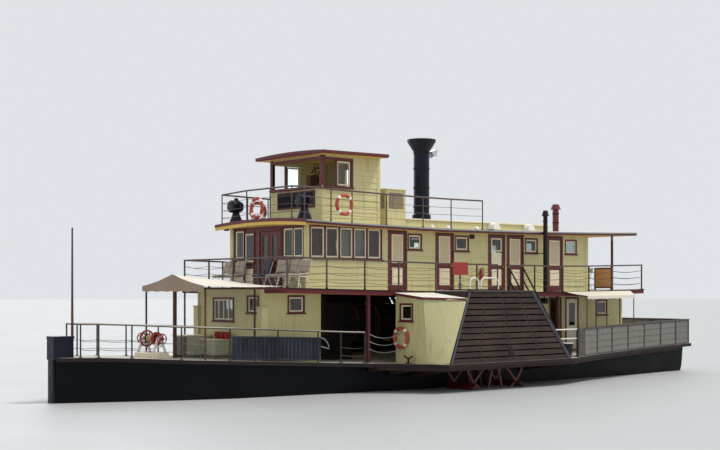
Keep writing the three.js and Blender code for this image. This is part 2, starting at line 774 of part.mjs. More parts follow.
// Long skylight coaming on the roof, with the louvred hood of the stair at its fore end
const HOOD = {
  fore: 12020, aft: 12900, half: 900, foot: 5350, head: 6750, slotFoot: 6080, slotHead: 6640,
  slots: 4, firstSlot: -800, slotStep: 420, slotWidth: 340, skin: 50, hollowFoot: 6000,
};
const COAMING = { aft: 20500, half: 760, head: 5775 };

function addSkylight() {
  const { fore, aft, half, head } = HOOD;
  const foot = wl(HOOD.foot);
  const coaming = block(
    at(aft) - 20, at(COAMING.aft), -COAMING.half, COAMING.half, foot, wl(COAMING.head),
  );
  const hood = block(at(fore), at(aft), -half, half, foot, wl(head));
  const [slotFoot, slotHead] = [wl(HOOD.slotFoot), wl(HOOD.slotHead)];
  const slots = [];
  for (let i = 0; i < HOOD.slots; i += 1) {
    const y = HOOD.firstSlot + i * HOOD.slotStep;
    slots.push(block(at(fore) - 30, at(aft) + 30, y, y + HOOD.slotWidth, slotFoot, slotHead));
  }
  slots.push(block(at(fore) + 90, at(aft) - 90, -half - 30, half + 30, slotFoot, slotHead));
  const skin = HOOD.skin;
  slots.push(block(
    at(fore) + skin, at(aft) - skin, skin - half, half - skin, wl(HOOD.hollowFoot), wl(head - 60),
  ));
  add('skylight', standOn(join([coaming, cut(hood, slots)]), roof), 'cream');
}

const FUNNEL_STATION = 14490;
const STOVEPIPE = { station: 18200, y: -2650, radius: 80 };
const GALLEY_FLUE = { station: 21800, radius: 125 };

function addFunnel() {
  const x = at(FUNNEL_STATION);
  const profile = [
    [340, COAMING.head + GAP], [340, 5990], [285, 6020], [285, 8270], [520, 8640], [520, 8720],
    [470, 8720], [235, 8330], [235, 7600],
  ].map(([radius, height]) => new THREE.Vector2(radius, wl(height)));
  profile.unshift(new THREE.Vector2(0, wl(COAMING.head + GAP)));
  profile.push(new THREE.Vector2(0, wl(7600)));
  const geometry = new THREE.LatheGeometry(profile, 24);
  geometry.rotateX(Math.PI / 2);
  geometry.translate(x, 0, 0);
  add('funnel', solid(geometry), 'black');
  const pipe = (station, y, foot, top, radius, floor) => {
    const tube = rod([at(station), y, foot], [at(station), y, top], radius, 12);
    const cowl = rod([at(station), y, top - 160], [at(station), y, top + 40], radius * 1.7, 12, radius);
    return standOn(join([tube, cowl]), floor);
  };
  const [galley, flue] = [STOVEPIPE, GALLEY_FLUE];
  add('stovepipe', pipe(galley.station, galley.y, wl(3160), wl(6140), galley.radius, upperDeck), 'iron');
  add('galley_flue', pipe(flue.station, 0, wl(5450), wl(6660), flue.radius, roof), 'maroon');
}

// A rectangular section swept along points, mitred at each corner, with its top at the points
function sweep(points, width, depth) {
  const rings = points.map((point, i) => {
    const before = points[Math.max(i - 1, 0)];
    const after = points[Math.min(i + 1, points.length - 1)];
    const inward = new THREE.Vector2(point[0] - before[0], point[1] - before[1]).normalize();
    const outward = new THREE.Vector2(after[0] - point[0], after[1] - point[1]).normalize();
    const along = inward.clone().add(outward).normalize();
    const stretch = 1 / Math.max(along.dot(i === 0 ? outward : inward), 0.4);
    const [u, v] = [-along.y * stretch * width / 2, along.x * stretch * width / 2];
    const [x, y, z] = point;
    return [[x - u, y - v, z], [x + u, y + v, z], [x + u, y + v, z - depth], [x - u, y - v, z - depth]];
  });
  return loft(rings);
}

// A rail on square posts, along points given as x, y and floor height
function fence(points, height = RAIL_HEIGHT, width = POST) {
  const half = width / 2 - 4;
  const posts = points.map(([x, y, floor]) => {
    return block(x - half, x + half, y - half, y + half, floor, floor + height - width / 2);
  });
  return join([sweep(points.map(([x, y, floor]) => [x, y, floor + height]), width, width), ...posts]);
}

const BOW_POSTS = [650, 1110, 1980, 3310, 4740, 6330, 7720, 8510, 9190];
const UPPER_POSTS = {
  fore: [6260, 7800, 9350, 10800, 12470, 13600, 14410, 15440],
  aft: [16100, 17360, 18890, 20360, 21710, 23540],
};
const ROOF_POSTS = [7380, 8440, 9310, 10790, 12430, 13750, 15290];
const ROOF_RAIL = { out: 2300, height: 1070, front: [-1640, -480, 840] };
const BUOY = {
  side: [8930, 570], front: [170, 480], reach: 70, section: [[255, -60], [375, -60], [375, 60], [255, 60]],
};
const LAMP = { station: 7680, out: 1900, height: 600, radius: 210, foot: 240, neck: 90 };

function addRails() {
  const sink = 30;
  const mirror = (points) => points.map(([x, y, z]) => [x, -y, z]);
  const bow = BOW_POSTS.map((station) => {
    return [at(station), deckEdge(station) - 110, mainTop(station) - sink];
  });
  const staffStation = 610;
  const staff = rod([at(staffStation), 0, mainTop(650) - sink], [at(staffStation), 0, wl(5100)], 40, 10, 22);
  const bowRail = join([fence([...mirror(bow).reverse(), ...bow]), staff]);
  add('bow_rail', standOn(bowRail, mainDeck), 'white');

  const y = UPPER_HALF - 60;
  const place = (station) => [at(station), y, upperTop(station) - sink];
  const fore = UPPER_POSTS.fore.map(place);
  const aft = UPPER_POSTS.aft.map(place);
  const across = (station, floor) => [-1400, 0, 1400].map((v) => [at(station), v, floor]);
  const front = across(UPPER_POSTS.fore[0], fore[0][2]);
  const back = across(UPPER_POSTS.aft[UPPER_POSTS.aft.length - 1], aft[aft.length - 1][2]);
  const foreLine = [...mirror(fore).reverse(), ...front, ...fore];
  const aftLine = [...mirror(aft), ...back, ...[...aft].reverse()];
  add('fore_upper_rail', standOn(fence(foreLine), upperDeck), 'maroon');
  add('aft_upper_rail', standOn(fence(aftLine), upperDeck), 'maroon');

  const roofSide = ROOF_POSTS.map((station) => [at(station), ROOF_RAIL.out, roofEdge(station) - 10]);
  const frontStation = ROOF_POSTS[0];
  const frontX = at(frontStation);
  const frontZ = roofEdge(frontStation);
  const roofFront = ROOF_RAIL.front.map((v) => [frontX, v, frontZ + 60]);
  const roofLine = [...mirror(roofSide).reverse(), ...roofFront, ...roofSide];
  const rings = [
    ...[-1, 1].map((side) => {
      const [station, lift] = BUOY.side;
      const centre = [at(station), side * (ROOF_RAIL.out + BUOY.reach), roofEdge(station) + lift];
      return ring(centre, BUOY.section, 16, 'y');
    }),
    ring([frontX - BUOY.reach, BUOY.front[0], frontZ + BUOY.front[1]], BUOY.section, 16, 'x'),
    bar([frontX - 50, BUOY.front[0], frontZ + BUOY.front[1] + 330], [frontX, BUOY.front[0], frontZ + 1090], 40),
  ];
  const lamps = [-1, 1].map((side) => {
    const [x, v, z] = [at(LAMP.station), side * LAMP.out, roofEdge(LAMP.station)];
    const eye = z + LAMP.height;
    const foot = rod([x, v, z - 40], [x, v, eye - 160], LAMP.foot, 10, LAMP.neck);
    const drum = rod([x - 240, v, eye], [x + 160, v, eye], LAMP.radius, 14);
    const stay = bar([x, v, eye - 160], [at(frontStation), side * ROOF_RAIL.out, eye - 160], 40);
    return join([foot, drum, stay]);
  });
  const roofRail = join([fence(roofLine, ROOF_RAIL.height), ...rings, ...lamps]);
  add('roof_rail', standOn(roofRail, roof), 'steel');
}

// Panelled bulwark round the after guard, with posts and a cap
function addBulwark() {
  const stations = [17450, 17950, 19140, 20370, 21720, 23100, 24390, 25620, 26690];
  const head = 990;
  const post = 40;
  const side = stations.map((station) => [at(station), deckEdge(station) - 90, mainTop(station)]);
  const last = side[side.length - 1];
  const line = [...side, ...[1000, -1000].map((y) => [last[0], y, last[2]])];
  line.push(...side.map(([x, y, z]) => [x, -y, z]).reverse());
  const lifted = (height) => line.map(([x, y, z]) => [x, y, z + height]);
  const posts = line.map(([x, y, z]) => block(x - post, x + post, y - post, y + post, z - 40, z + head - 40));
  const pieces = [sweep(lifted(head - 20), 36, head), sweep(lifted(head), 96, 50), ...posts];
  add('stern_bulwark', standOn(join(pieces), mainDeck), 'cream');
}

// Open-tread stair from the paddle box top down aft to the main deck
function addStairs() {
  const head = [15760, 3180];
  const foot = [17575, 960];
  const slope = (foot[1] - head[1]) / (foot[0] - head[0]);
  const pieces = [];
  for (const y of [3070, 3720]) {
    const outline = [
      [at(head[0]), wl(head[1])], [at(foot[0]), wl(foot[1])],
      [at(foot[0]), wl(foot[1] - 100)], [at(foot[0] - 230), wl(foot[1] - 100)],
      [at(head[0]), wl(head[1] - 150)],
    ];
    pieces.push(sidePrism(outline, y, y + 40));
    const rail = (lift) => {
      return bar(
        [at(head[0]) + 30, y + 20, wl(head[1] + lift)], [at(foot[0]) - 60, y + 20, wl(foot[1] + lift)], 40,
      );
    };
    pieces.push(rail(900), rail(480));
    for (const share of [0.02, 0.5, 0.97]) {
      const x = at(head[0] + share * (foot[0] - head[0]));
      const z = wl(head[1] + share * (foot[1] - head[1]));
      pieces.push(block(x - 20, x + 20, y, y + 40, z - 60, z + 910));
    }
  }
  const treads = 8;
  for (let i = 1; i <= treads; i += 1) {
    const x = head[0] + i * (foot[0] - head[0]) / (treads + 1);
    const z = head[1] + slope * (x - head[0]) - 20;
    pieces.push(block(at(x) - 110, at(x) + 110, 3080, 3750, wl(z) - 30, wl(z)));
  }
  pieces.push(block(at(15450), at(15800), 3070, 3760, wl(3170), wl(3210)));
  addPair('stair', standOn(join(pieces), mainDeck), 'iron');
}

// Fore awning: a canvas roof with a ridge, a gable hanging at its front, on a frame of posts
const AWNING = {
  fore: 4000, aft: 6120, foreHalf: 1800, aftHalf: 2900, foreEaves: 3390, aftEaves: 3375,
  foreRidge: 3750, aftRidge: 3560, thick: 14, gable: 170,
};
const SIDE_AWNING = {
  fore: 18950, aft: 22700, foreOut: 4000, taper: 0.202, foreEaves: 3060, rise: 30, inner: [3195, 3240],
  poles: [18990, 19660, 20480, 21490, 22640],
};

function addAwnings() {
  const a = AWNING;
  const section = (x, half, eaves, ridge) => [
    [x, -half, wl(eaves)], [x, 0, wl(ridge)], [x, half, wl(eaves)],
    [x, half, wl(eaves) + a.thick], [x, 0, wl(ridge) + a.thick], [x, -half, wl(eaves) + a.thick],
  ];
  const sheet = loft([
    section(at(a.fore), a.foreHalf, a.foreEaves, a.foreRidge),
    section(at(a.aft), a.aftHalf, a.aftEaves, a.aftRidge),
  ], flatYZ);
  const gable = loft([0, a.thick].map((shift) => [
    [at(a.fore) + shift, -a.foreHalf, wl(a.foreEaves - a.gable)],
    [at(a.fore) + shift, a.foreHalf, wl(a.foreEaves - a.gable)],
    [at(a.fore) + shift, a.foreHalf, wl(a.foreEaves + 5)],
    [at(a.fore) + shift, 0, wl(a.foreRidge + 5)],
    [at(a.fore) + shift, -a.foreHalf, wl(a.foreEaves + 5)],
  ]), flatYZ);
  add('fore_awning', join([sheet, gable]), 'canvas');

  const low = 60;
  const foreX = at(a.fore) + 90;
  const aftX = at(6060);
  const eave = wl(a.foreEaves - low);
  const ridge = wl(a.foreRidge - low);
  const cornerOut = 1720;
  const frame = [[-cornerOut, 22, eave], [0, 45, ridge], [cornerOut, 22, eave]].map(([y, half, top]) => {
    return block(foreX - half, foreX + half, y - half, y + half, mainTop(4100) - 40, top);
  });
  frame.push(bar([foreX, -cornerOut, eave], [foreX, cornerOut, eave], 50));
  frame.push(bar([foreX, 0, ridge], [aftX, 0, wl(a.aftRidge - low - 15)], 50));
  const [sideStation, sideOut, armOut] = [5700, 1990, 2505];
  const armHeight = wl(3310);
  for (const side of [-1, 1]) {
    const x = at(sideStation);
    const y = side * sideOut;
    frame.push(bar([foreX, side * cornerOut, eave], [aftX, side * 2700, wl(a.aftEaves - low)], 45));
    frame.push(block(x - 22, x + 22, y - 22, y + 22, mainTop(sideStation) - 40, wl(a.aftEaves - low + 8)));
    frame.push(bar([x, y, armHeight], [x, side * armOut, armHeight], 40));
  }
  add('awning_frame', standOn(join(frame), mainDeck), 'timber');

  // Narrow side awning from the upper deck's edge out to poles just inside the bulwark
  const b = SIDE_AWNING;
  const outerEdge = (station) => b.foreOut - b.taper * (station - b.fore);
  const outerHeight = (station) => b.foreEaves + b.rise * (station - b.fore) / (b.aft - b.fore);
  const corners = [
    [b.fore, UPPER_HALF + 50, b.inner[0]], [b.aft, UPPER_HALF + 50, b.inner[1]],
    [b.aft, outerEdge(b.aft), outerHeight(b.aft)], [b.fore, outerEdge(b.fore), outerHeight(b.fore)],
  ].map(([station, y, height]) => [at(station), y, wl(height)]);
  const strip = [0, a.thick].map((lift) => corners.map(([x, y, z]) => [x, y, z + lift]));
  const poles = b.poles.map((station) => {
    const [x, y] = [at(station), outerEdge(station) - 45];
    return block(x - 20, x + 20, y - 20, y + 20, mainTop(station) - 30, wl(outerHeight(station)) + 12);
  });
  addPair('aft_awning', standOn(join([loft(strip, flatXY), ...poles]), mainDeck), 'canvas');
}

const WINDLASS = {
  station: 3270, height: 1790, drumHalf: 420, cheek: 470, axle: 640, wheels: [[280, 260], [-290, 210]],
};
const DECK_LOCKERS = [
  { fore: 4700, aft: 5830, y0: 480, y1: 1080, head: 1810 },
  { fore: 5330, aft: 6040, y0: -320, y1: 520, head: 1690 },
];

function addDeckGear() {
  const w = WINDLASS;
  const deck = mainTop(w.station) - 60;
  const x = at(w.station);
  const axis = wl(w.height);
  const drum = rod([x, -w.drumHalf, axis], [x, w.drumHalf, axis], 130, 14);
  const wheels = w.wheels.map(([y, radius]) => rod([x, y - 35, axis], [x, y + 35, axis], radius, 18));
  const cheeks = [-w.cheek, w.cheek].map((y) => block(x - 190, x + 190, y - 45, y + 45, deck, axis + 120));
  const axle = rod([x, -w.axle, axis], [x, w.axle, axis], 45, 10);
  const bed = block(x - 300, x + 300, -w.cheek - 45, w.cheek + 45, deck, deck + 220);
  add('windlass', standOn(join([drum, ...wheels, ...cheeks, axle, bed]), mainDeck), 'red');

  const lockers = DECK_LOCKERS.map(({ fore, aft, y0, y1, head }) => {
    return block(at(fore), at(aft), y0, y1, mainTop(5000) - 80, wl(head));
  });
  add('deck_locker', standOn(join(lockers), mainDeck), 'cream');

  const [plankFore, plankAft] = [4900, 7900];
  const plankHeight = 720;
  const start = [at(plankFore), -1960, mainTop(plankFore) + 30 + plankHeight / 2 - 10];
  const end = [at(plankAft), -2440, mainTop(plankAft) + 70 + plankHeight / 2 - 10];
  add('gangplank', standOn(bar(start, end, 60, plankHeight), mainDeck), 'steel');
}

addHull();
addRudder();
addPaddleWheels();
addPaddleBoxes();
addSponsonHouses();
addLowerHouses();
addBoiler();
addUpperDeck();
addUpperCabin();
addDoors();
addRoof();
addWheelhouse();
addSkylight();
addFunnel();
addRails();
addBulwark();
addStairs();
addAwnings();
addDeckGear();

export default ship;
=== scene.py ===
"""A side-wheel paddle steamer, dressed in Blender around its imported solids.

Every new piece is a surface worked out with numpy. Places are given as on a builder's drawing:
stations in metres aft of the stem, heights in metres above the water, and out from the centre line.
"""

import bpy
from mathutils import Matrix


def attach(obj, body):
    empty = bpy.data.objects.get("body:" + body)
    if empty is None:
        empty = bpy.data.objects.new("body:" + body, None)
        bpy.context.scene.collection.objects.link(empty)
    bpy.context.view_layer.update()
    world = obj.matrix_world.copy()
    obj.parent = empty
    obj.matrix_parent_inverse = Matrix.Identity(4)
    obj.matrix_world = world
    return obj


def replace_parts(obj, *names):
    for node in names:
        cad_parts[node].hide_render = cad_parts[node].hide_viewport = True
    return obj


# %% [markdown]
# # Dressing a paddle steamer
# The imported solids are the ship's bones: hull, decks, cabins, wheels and rails, each already in
# place and riding on its own body. This lesson paints them and adds what solids leave out: boards,
# window sashes, glass, curtains, wires, canvas and fittings. The frame comes first, because every
# later piece is measured against it.

# %% Load the frame
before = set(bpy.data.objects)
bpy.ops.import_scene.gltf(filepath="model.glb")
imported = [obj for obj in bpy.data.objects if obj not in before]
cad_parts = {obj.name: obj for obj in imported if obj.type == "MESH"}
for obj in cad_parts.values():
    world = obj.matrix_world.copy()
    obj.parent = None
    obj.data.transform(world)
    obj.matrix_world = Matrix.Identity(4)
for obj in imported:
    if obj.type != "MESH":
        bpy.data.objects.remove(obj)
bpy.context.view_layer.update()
import math

import bpy
import numpy as np

# %% [markdown]
# ## The builder's measures
# A shipwright gives a place as a station and a height, and reads the sheer, the long curve of a
# deck, from a table of offsets. The same is done here. Straight lines between the table's rows are
# what the solids have, so the dressing follows them exactly.

# %% Stations, heights and sheer lines
MIDSHIP, DRAFT = 13.46, 1.0
MAIN_DECK = np.array([
    (0, .22, 1.31), (1.16, .8, 1.3), (2.2, 1.26, 1.262), (3.3, 1.74, 1.2), (5, 2.26, 1.13),
    (7.2, 2.56, 1.03), (8.5, 2.82, .97), (9.3, 3.25, .945), (10.05, 3.8, .93), (10.96, 5.1, .92),
    (16.9, 5.1, .935), (19.4, 4.25, .965), (22.8, 3.45, 1.03), (26, 2.98, 1.095), (26.85, 2.86, 1.115),
    (27.01, 2.7, 1.118)])
UPPER_DECK = np.array([(6.2, 3.33), (10, 3.26), (13, 3.215), (18.6, 3.2), (21, 3.24), (23.6, 3.31)])
ROOF = np.array([(7.27, 5.48), (9, 5.43), (13, 5.37), (17, 5.4), (20.5, 5.46), (23.7, 5.54)])


def at(station):
    """Place along the ship: the station less the midship station."""
    return np.asarray(station, float) - MIDSHIP


def wl(height):
    """Height in the frame: height above the water plus the draught."""
    return np.asarray(height, float) + DRAFT


def spot(station, out, height):
    """A place in the frame from a station, a distance out and a height above the water."""
    return np.array((at(station), out, wl(height)))


def deck_edge(station):
    """Half-breadth of the main deck, straight between the rows of its table."""
    return np.interp(station, MAIN_DECK[:, 0], MAIN_DECK[:, 1])


def main_top(station):
    """Height of the main deck in the frame."""
    return wl(np.interp(station, MAIN_DECK[:, 0], MAIN_DECK[:, 2]))


def upper_top(station):
    """Height of the upper deck in the frame."""
    return wl(np.interp(station, UPPER_DECK[:, 0], UPPER_DECK[:, 1]))


def roof_edge(station):
    """Height of the cabin roof's edge in the frame."""
    return wl(np.interp(station, ROOF[:, 0], ROOF[:, 1]))


print("upper deck at the funnel is", round(upper_top(14.49), 3), "m up in the frame")

# %% [markdown]
# ## Camera
# The photograph was taken from the water's edge, off the port bow, with a moderate telephoto lens.
# The camera stands level and its frame is shifted up a little, which keeps the posts upright.

# %% Camera off the port bow
FOCAL_PIXELS, IMAGE_WIDTH, HORIZON_BELOW_CENTRE, HEADING = 1261.0, 720.0, 66.0, 40.05
CAMERA_STATION, CAMERA_OUT, CAMERA_HEIGHT = -16.64, -33.57, 3.24
lens = bpy.data.cameras.new("camera")
lens.sensor_width = 36.0
lens.lens = lens.sensor_width * FOCAL_PIXELS / IMAGE_WIDTH
lens.shift_y = HORIZON_BELOW_CENTRE / IMAGE_WIDTH
lens.clip_end = 500.0
camera = bpy.data.objects.new("camera", lens)
camera.location = spot(CAMERA_STATION, CAMERA_OUT, CAMERA_HEIGHT)
camera.rotation_euler = (math.radians(90), 0, -math.radians(HEADING))
bpy.context.scene.collection.objects.link(camera)
bpy.context.scene.camera = camera
print("camera", round(lens.lens, 1), "mm at", tuple(round(v, 2) for v in camera.location))

# %% [markdown]
# ## Making meshes from arrays
# A form is three arrays: points, four-sided faces and three-sided faces. Arrays let numpy work out
# a thousand boards at once. A closed form's own volume says which way its faces look, so each
# helper turns them outwards before it hands the form on.

# %% Forms: joining, turning and mirroring
MIRROR = np.array((1, -1, 1))


def form(points, quads=(), tris=()):
    """Points, four-sided faces and three-sided faces, as arrays of the right shape."""
    return (np.asarray(points, float).reshape(-1, 3), np.asarray(quads, int).reshape(-1, 4),
            np.asarray(tris, int).reshape(-1, 3))


def merged(*forms):
    """All forms as one: the faces of each count on from the points of those before it."""
    starts = np.cumsum([0] + [len(f[0]) for f in forms])
    return (np.concatenate([f[0] for f in forms]),
            np.concatenate([f[1] + s for f, s in zip(forms, starts)]),
            np.concatenate([f[2] + s for f, s in zip(forms, starts)]))


def turned(shape):
    """The same form with each face's corners in reverse order, so that it looks the other way."""
    return shape[0], shape[1][:, ::-1], shape[2][:, ::-1]


def outward(shape):
    """Turns the faces if the volume, the sum of corner . (next corner x third corner), is negative."""
    points, quads, tris = shape
    middle = points.mean(0)
    corners = np.concatenate([quads[:, [0, 1, 2]], quads[:, [0, 2, 3]], tris])
    a, b, c = (points[corners[:, i]] - middle for i in range(3))
    return shape if np.einsum("ij,ij->i", a, np.cross(b, c)).sum() >= 0 else turned(shape)


def copies(points, quads, tris=()):
    """One set of faces on each of N sets of M points: copy k counts on from point k * M."""
    points = np.asarray(points, float)
    step = (np.arange(points.shape[0]) * points.shape[1])[:, None, None]
    quads = np.asarray(quads, int).reshape(-1, 4)[None] + step
    tris = np.asarray(tris, int).reshape(-1, 3)[None] + step
    return outward(form(points, quads, tris))


def port(shape):
    """The mirror image on the other side of the ship: out becomes minus out, and faces turn."""
    return turned((shape[0] * MIRROR, shape[1], shape[2]))


def pair(shape):
    """A form and its mirror image, as one."""
    return merged(shape, port(shape))


def ahead(shape, station):
    """Carries a form from wall space (along, out, up) to a wall that faces the bow at a station."""
    along, out, up = shape[0].T
    return np.stack([at(station) - out, along, up], 1), shape[1], shape[2]


def astern(shape, station):
    """Carries a form from wall space (along, out, up) to a wall that faces the stern."""
    along, out, up = shape[0].T
    return np.stack([at(station) + out, -along, up], 1), shape[1], shape[2]


print("forms can be merged, mirrored and carried to a wall")

# %% Boxes, bars, rods and skins
PRISM = [(0, 1, 5, 4), (1, 2, 6, 5), (2, 3, 7, 6), (3, 0, 4, 7), (0, 3, 2, 1), (4, 5, 6, 7)]
CUBE = np.array([(0, 0, 0), (0, 1, 0), (0, 1, 1), (0, 0, 1), (1, 0, 0), (1, 1, 0), (1, 1, 1), (1, 0, 1)])
NEARLY_UPRIGHT = 0.999


def unit(vectors):
    """The same directions, each one metre long."""
    return vectors / np.linalg.norm(vectors, axis=-1, keepdims=True)


def circle(count):
    """Cosines and sines of so many angles, spread evenly round a full turn."""
    angle = np.arange(count) * 2 * math.pi / count
    return np.cos(angle), np.sin(angle)


def boxes(spans):
    """Boxes from rows (x0, x1, y0, y1, z0, z1): corner = low + unit corner * (high - low)."""
    rows = np.asarray(spans, float).reshape(-1, 3, 2)
    low, high = rows[:, None, :, 0], rows[:, None, :, 1]
    return copies(low + CUBE * (high - low), PRISM)


def blocks(*spans):
    """Boxes from rows of two stations, two distances out and two heights above the water."""
    rows = np.array(spans, float)
    return boxes(np.concatenate([at(rows[:, :2]), rows[:, 2:4], wl(rows[:, 4:])], 1))


def sections(start, end, rim):
    """A closed rim of points carried at both ends of each line, in the plane square to it."""
    start, end = np.broadcast_arrays(np.atleast_2d(start).astype(float), np.atleast_2d(end).astype(float))
    along = unit(end - start)
    upright = np.abs(along[:, 2:]) > NEARLY_UPRIGHT
    side = unit(np.where(upright, (0.0, 1.0, 0.0), np.cross((0.0, 0.0, 1.0), along)))
    top = np.cross(along, side)
    return start, end, rim[..., :1] * side[:, None] + rim[..., 1:] * top[:, None]


def bars(start, end, width, depth=None):
    """Square-edged bars between pairs of points: corners lie half a width and half a depth out."""
    depth = width if depth is None else depth
    rim = np.array([(-1, -1), (1, -1), (1, 1), (-1, 1)]) * (width / 2, depth / 2)
    start, end, ring = sections(start, end, rim)
    return copies(np.concatenate([start[:, None] + ring, end[:, None] + ring], 1), PRISM)


def grid_quads(rows, cols, wrap_rows=False, wrap_cols=False):
    """Quads between neighbours on a grid; a wrapped direction also joins the last to the first."""
    r = np.arange(rows if wrap_rows else rows - 1)[:, None]
    c = np.arange(cols if wrap_cols else cols - 1)[None, :]
    r2, c2 = (r + 1) % rows, (c + 1) % cols
    return np.stack([r * cols + c, r * cols + c2, r2 * cols + c2, r2 * cols + c], -1).reshape(-1, 4)


def fans(sides, last, middle):
    """Triangles that shut both ends: the first ring begins at point 0 and the last at an index, and
    their middles are two points that follow each other."""
    k = np.arange(sides)
    n = (k + 1) % sides
    return np.concatenate([np.stack([n, k, k * 0 + middle], 1),
                           np.stack([k + last, n + last, k * 0 + middle + 1], 1)])


def rods(start, end, radius, sides=8, tip=None):
    """Round rods between pairs of points: rim point k lies at angle k * 360 / sides."""
    start, end, ring = sections(start, end, np.stack(circle(sides), 1))
    tip = radius if tip is None else tip
    points = np.concatenate([start[:, None] + ring * radius, end[:, None] + ring * tip,
                             start[:, None], end[:, None]], 1)
    return copies(points, grid_quads(2, sides, wrap_cols=True), fans(sides, sides, 2 * sides))


def skin(rings, closed=False):
    """Quads between rings of points. Unless it closes on itself, a fan from the middle of the first
    ring and of the last ring shuts each end."""
    rings = np.asarray(rings, float)
    rows, sides = rings.shape[:2]
    quads = grid_quads(rows, sides, closed, True)
    if closed:
        return outward(form(rings, quads))
    ends = rings[[0, -1]].mean(1)
    tris = fans(sides, (rows - 1) * sides, rows * sides)
    return outward(form(np.concatenate([rings.reshape(-1, 3), ends]), quads, tris))


print("a box has", len(boxes([(0, 1, 0, 1, 0, 1)])[1]), "faces")

# %% Tubes, strips, turned work and frames
SHARPEST_BEND = 0.4


def tube(path, radius, sides=8, closed=False):
    """A round section carried along a path, square to it: the slope of the path gives its way,
    and the cross product with the axis it follows least gives the section's own two directions."""
    path = np.asarray(path, float)
    along = unit(np.roll(path, -1, 0) - np.roll(path, 1, 0) if closed else np.gradient(path, axis=0))
    side = unit(np.cross(np.eye(3)[np.abs(along).mean(0).argmin()], along))
    top = np.cross(along, side)
    cos, sin = circle(sides)
    radius = np.broadcast_to(np.asarray(radius, float), len(path))[:, None, None]
    ring = cos[:, None] * side[:, None] + sin[:, None] * top[:, None]
    return skin(path[:, None] + radius * ring, closed)


def mitre(path):
    """A step sideways in plan at each point of a path: one metre, stretched at a bend by one over
    the cosine of half the bend."""
    steps = unit(np.diff(path[:, :2], axis=0))
    after = np.vstack([steps, steps[-1:]])
    along = unit(np.vstack([steps[:1], steps]) + after)
    stretch = 1 / np.maximum((along * after).sum(1), SHARPEST_BEND)
    return np.stack([-along[:, 1], along[:, 0], along[:, 0] * 0], 1) * stretch[:, None]


def strip(path, width, depth):
    """A level rectangular section carried along a path, mitred at each bend, its top on the path."""
    path = np.asarray(path, float)
    across = mitre(path) * width / 2
    down = np.array((0, 0, depth))
    return skin(np.stack([path - across, path + across, path + across - down, path - across - down], 1))


def lathe(profile, centre, axis="z", sides=24, ring=False):
    """Turned work: each (radius, offset) of the profile goes round the axis. A ring's profile is a
    closed loop; otherwise a point on the axis closes each end."""
    profile = np.asarray(profile, float)
    u, w, along = np.roll(np.eye(3), -("xyz".index(axis) + 1), 0)
    cos, sin = circle(sides)
    spokes = cos[:, None] * u + sin[:, None] * w
    rings = profile[:, :1, None] * spokes[None] + profile[:, 1:, None] * along + np.asarray(centre, float)
    return skin(rings, ring)


def band(inner, outer, low, high, centre, axis="z", sides=24):
    """A square-edged ring between two radii and two offsets along its axis."""
    return lathe([(inner, low), (outer, low), (outer, high), (inner, high)], centre, axis, sides, True)


def arc(centre, radius, start, stop, axis="y", count=13):
    """Points on part of a circle about an axis, from one angle in degrees to another."""
    u, w, _ = np.roll(np.eye(3), -("xyz".index(axis) + 1), 0)
    angle = np.radians(np.linspace(start, stop, count))[:, None]
    return np.asarray(centre, float) + radius * (np.cos(angle) * u + np.sin(angle) * w)


def surrounds(openings, width, back, front):
    """Mitred frames round openings (u0, u1, v0, v1) in wall space: at each of the four corners the
    section's points lie outside and inside by the width, and at the back and the front."""
    openings = np.asarray(openings, float).reshape(-1, 4)
    turn = np.array([(-1, -1), (1, -1), (1, 1), (-1, 1)])
    corner = np.stack([openings[:, [0, 1, 1, 0]], openings[:, [2, 2, 3, 3]]], 2)
    outer, inner = corner + turn * width, corner
    loop = [(outer, back), (outer, front), (inner, front), (inner, back)]
    points = np.stack([np.stack([p[..., 0], np.full(p.shape[:2], d), p[..., 1]], -1) for p, d in loop], 2)
    return copies(points.reshape(len(openings), 16, 3), grid_quads(4, 4, True, True))


print("a tube of eight sides has", len(tube([(0, 0, 0), (1, 0, 0)], 0.1)[1]), "long faces")

# %% [markdown]
# ## From a form to a piece
# A piece is a mesh at the origin with its place in its points, riding on a body, with one finish.
# Edges sharper than about 30 degrees stay crisp, and a small bevel catches the light on boards.


def piece(name, shape, finish, body="root", bevel=0.0, smooth=32.0):
    """Puts a form into a mesh in one go, paints it and lets it ride on a body."""
    points, quads, tris = shape
    mesh = bpy.data.meshes.new(name)
    corners = np.concatenate([quads.ravel(), tris.ravel()]).astype(np.int32)
    starts = np.concatenate([np.arange(len(quads)) * 4, len(quads) * 4 + np.arange(len(tris)) * 3])
    mesh.vertices.add(len(points))
    mesh.vertices.foreach_set("co", points.astype(np.float32).ravel())
    mesh.loops.add(len(corners))
    mesh.loops.foreach_set("vertex_index", corners)
    mesh.polygons.add(len(starts))
    mesh.polygons.foreach_set("loop_start", starts.astype(np.int32))
    mesh.update(calc_edges=True)
    mesh.shade_smooth()
    mesh.set_sharp_from_angle(angle=math.radians(smooth))
    mesh.materials.append(finish)
    obj = bpy.data.objects.new(name, mesh)
    bpy.context.scene.collection.objects.link(obj)
    if bevel:
        edge = obj.modifiers.new("edge", "BEVEL")
        edge.width, edge.segments, edge.limit_method = bevel, 1, "ANGLE"
    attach(obj, body)
    return obj


# %% [markdown]
# ## Finishes
# Nearly everything here is painted wood or iron that stands in the sun. A painted finish is one
# recipe: broad fading, fine mottling, runs of dirt that follow the wall down, and a little brush
# relief. Patterns read Object coordinates, which are metres, so their scale is real.

# %% Node helpers
def paint(hexadecimal):
    """A screen colour such as C9B36B as linear light: ((c + 0.055) / 1.055) to the power 2.4."""
    channel = np.array([int(hexadecimal[i:i + 2], 16) / 255 for i in (0, 2, 4)])
    linear = np.where(channel <= 0.04045, channel / 12.92, ((channel + 0.055) / 1.055) ** 2.4)
    return (*linear, 1.0)


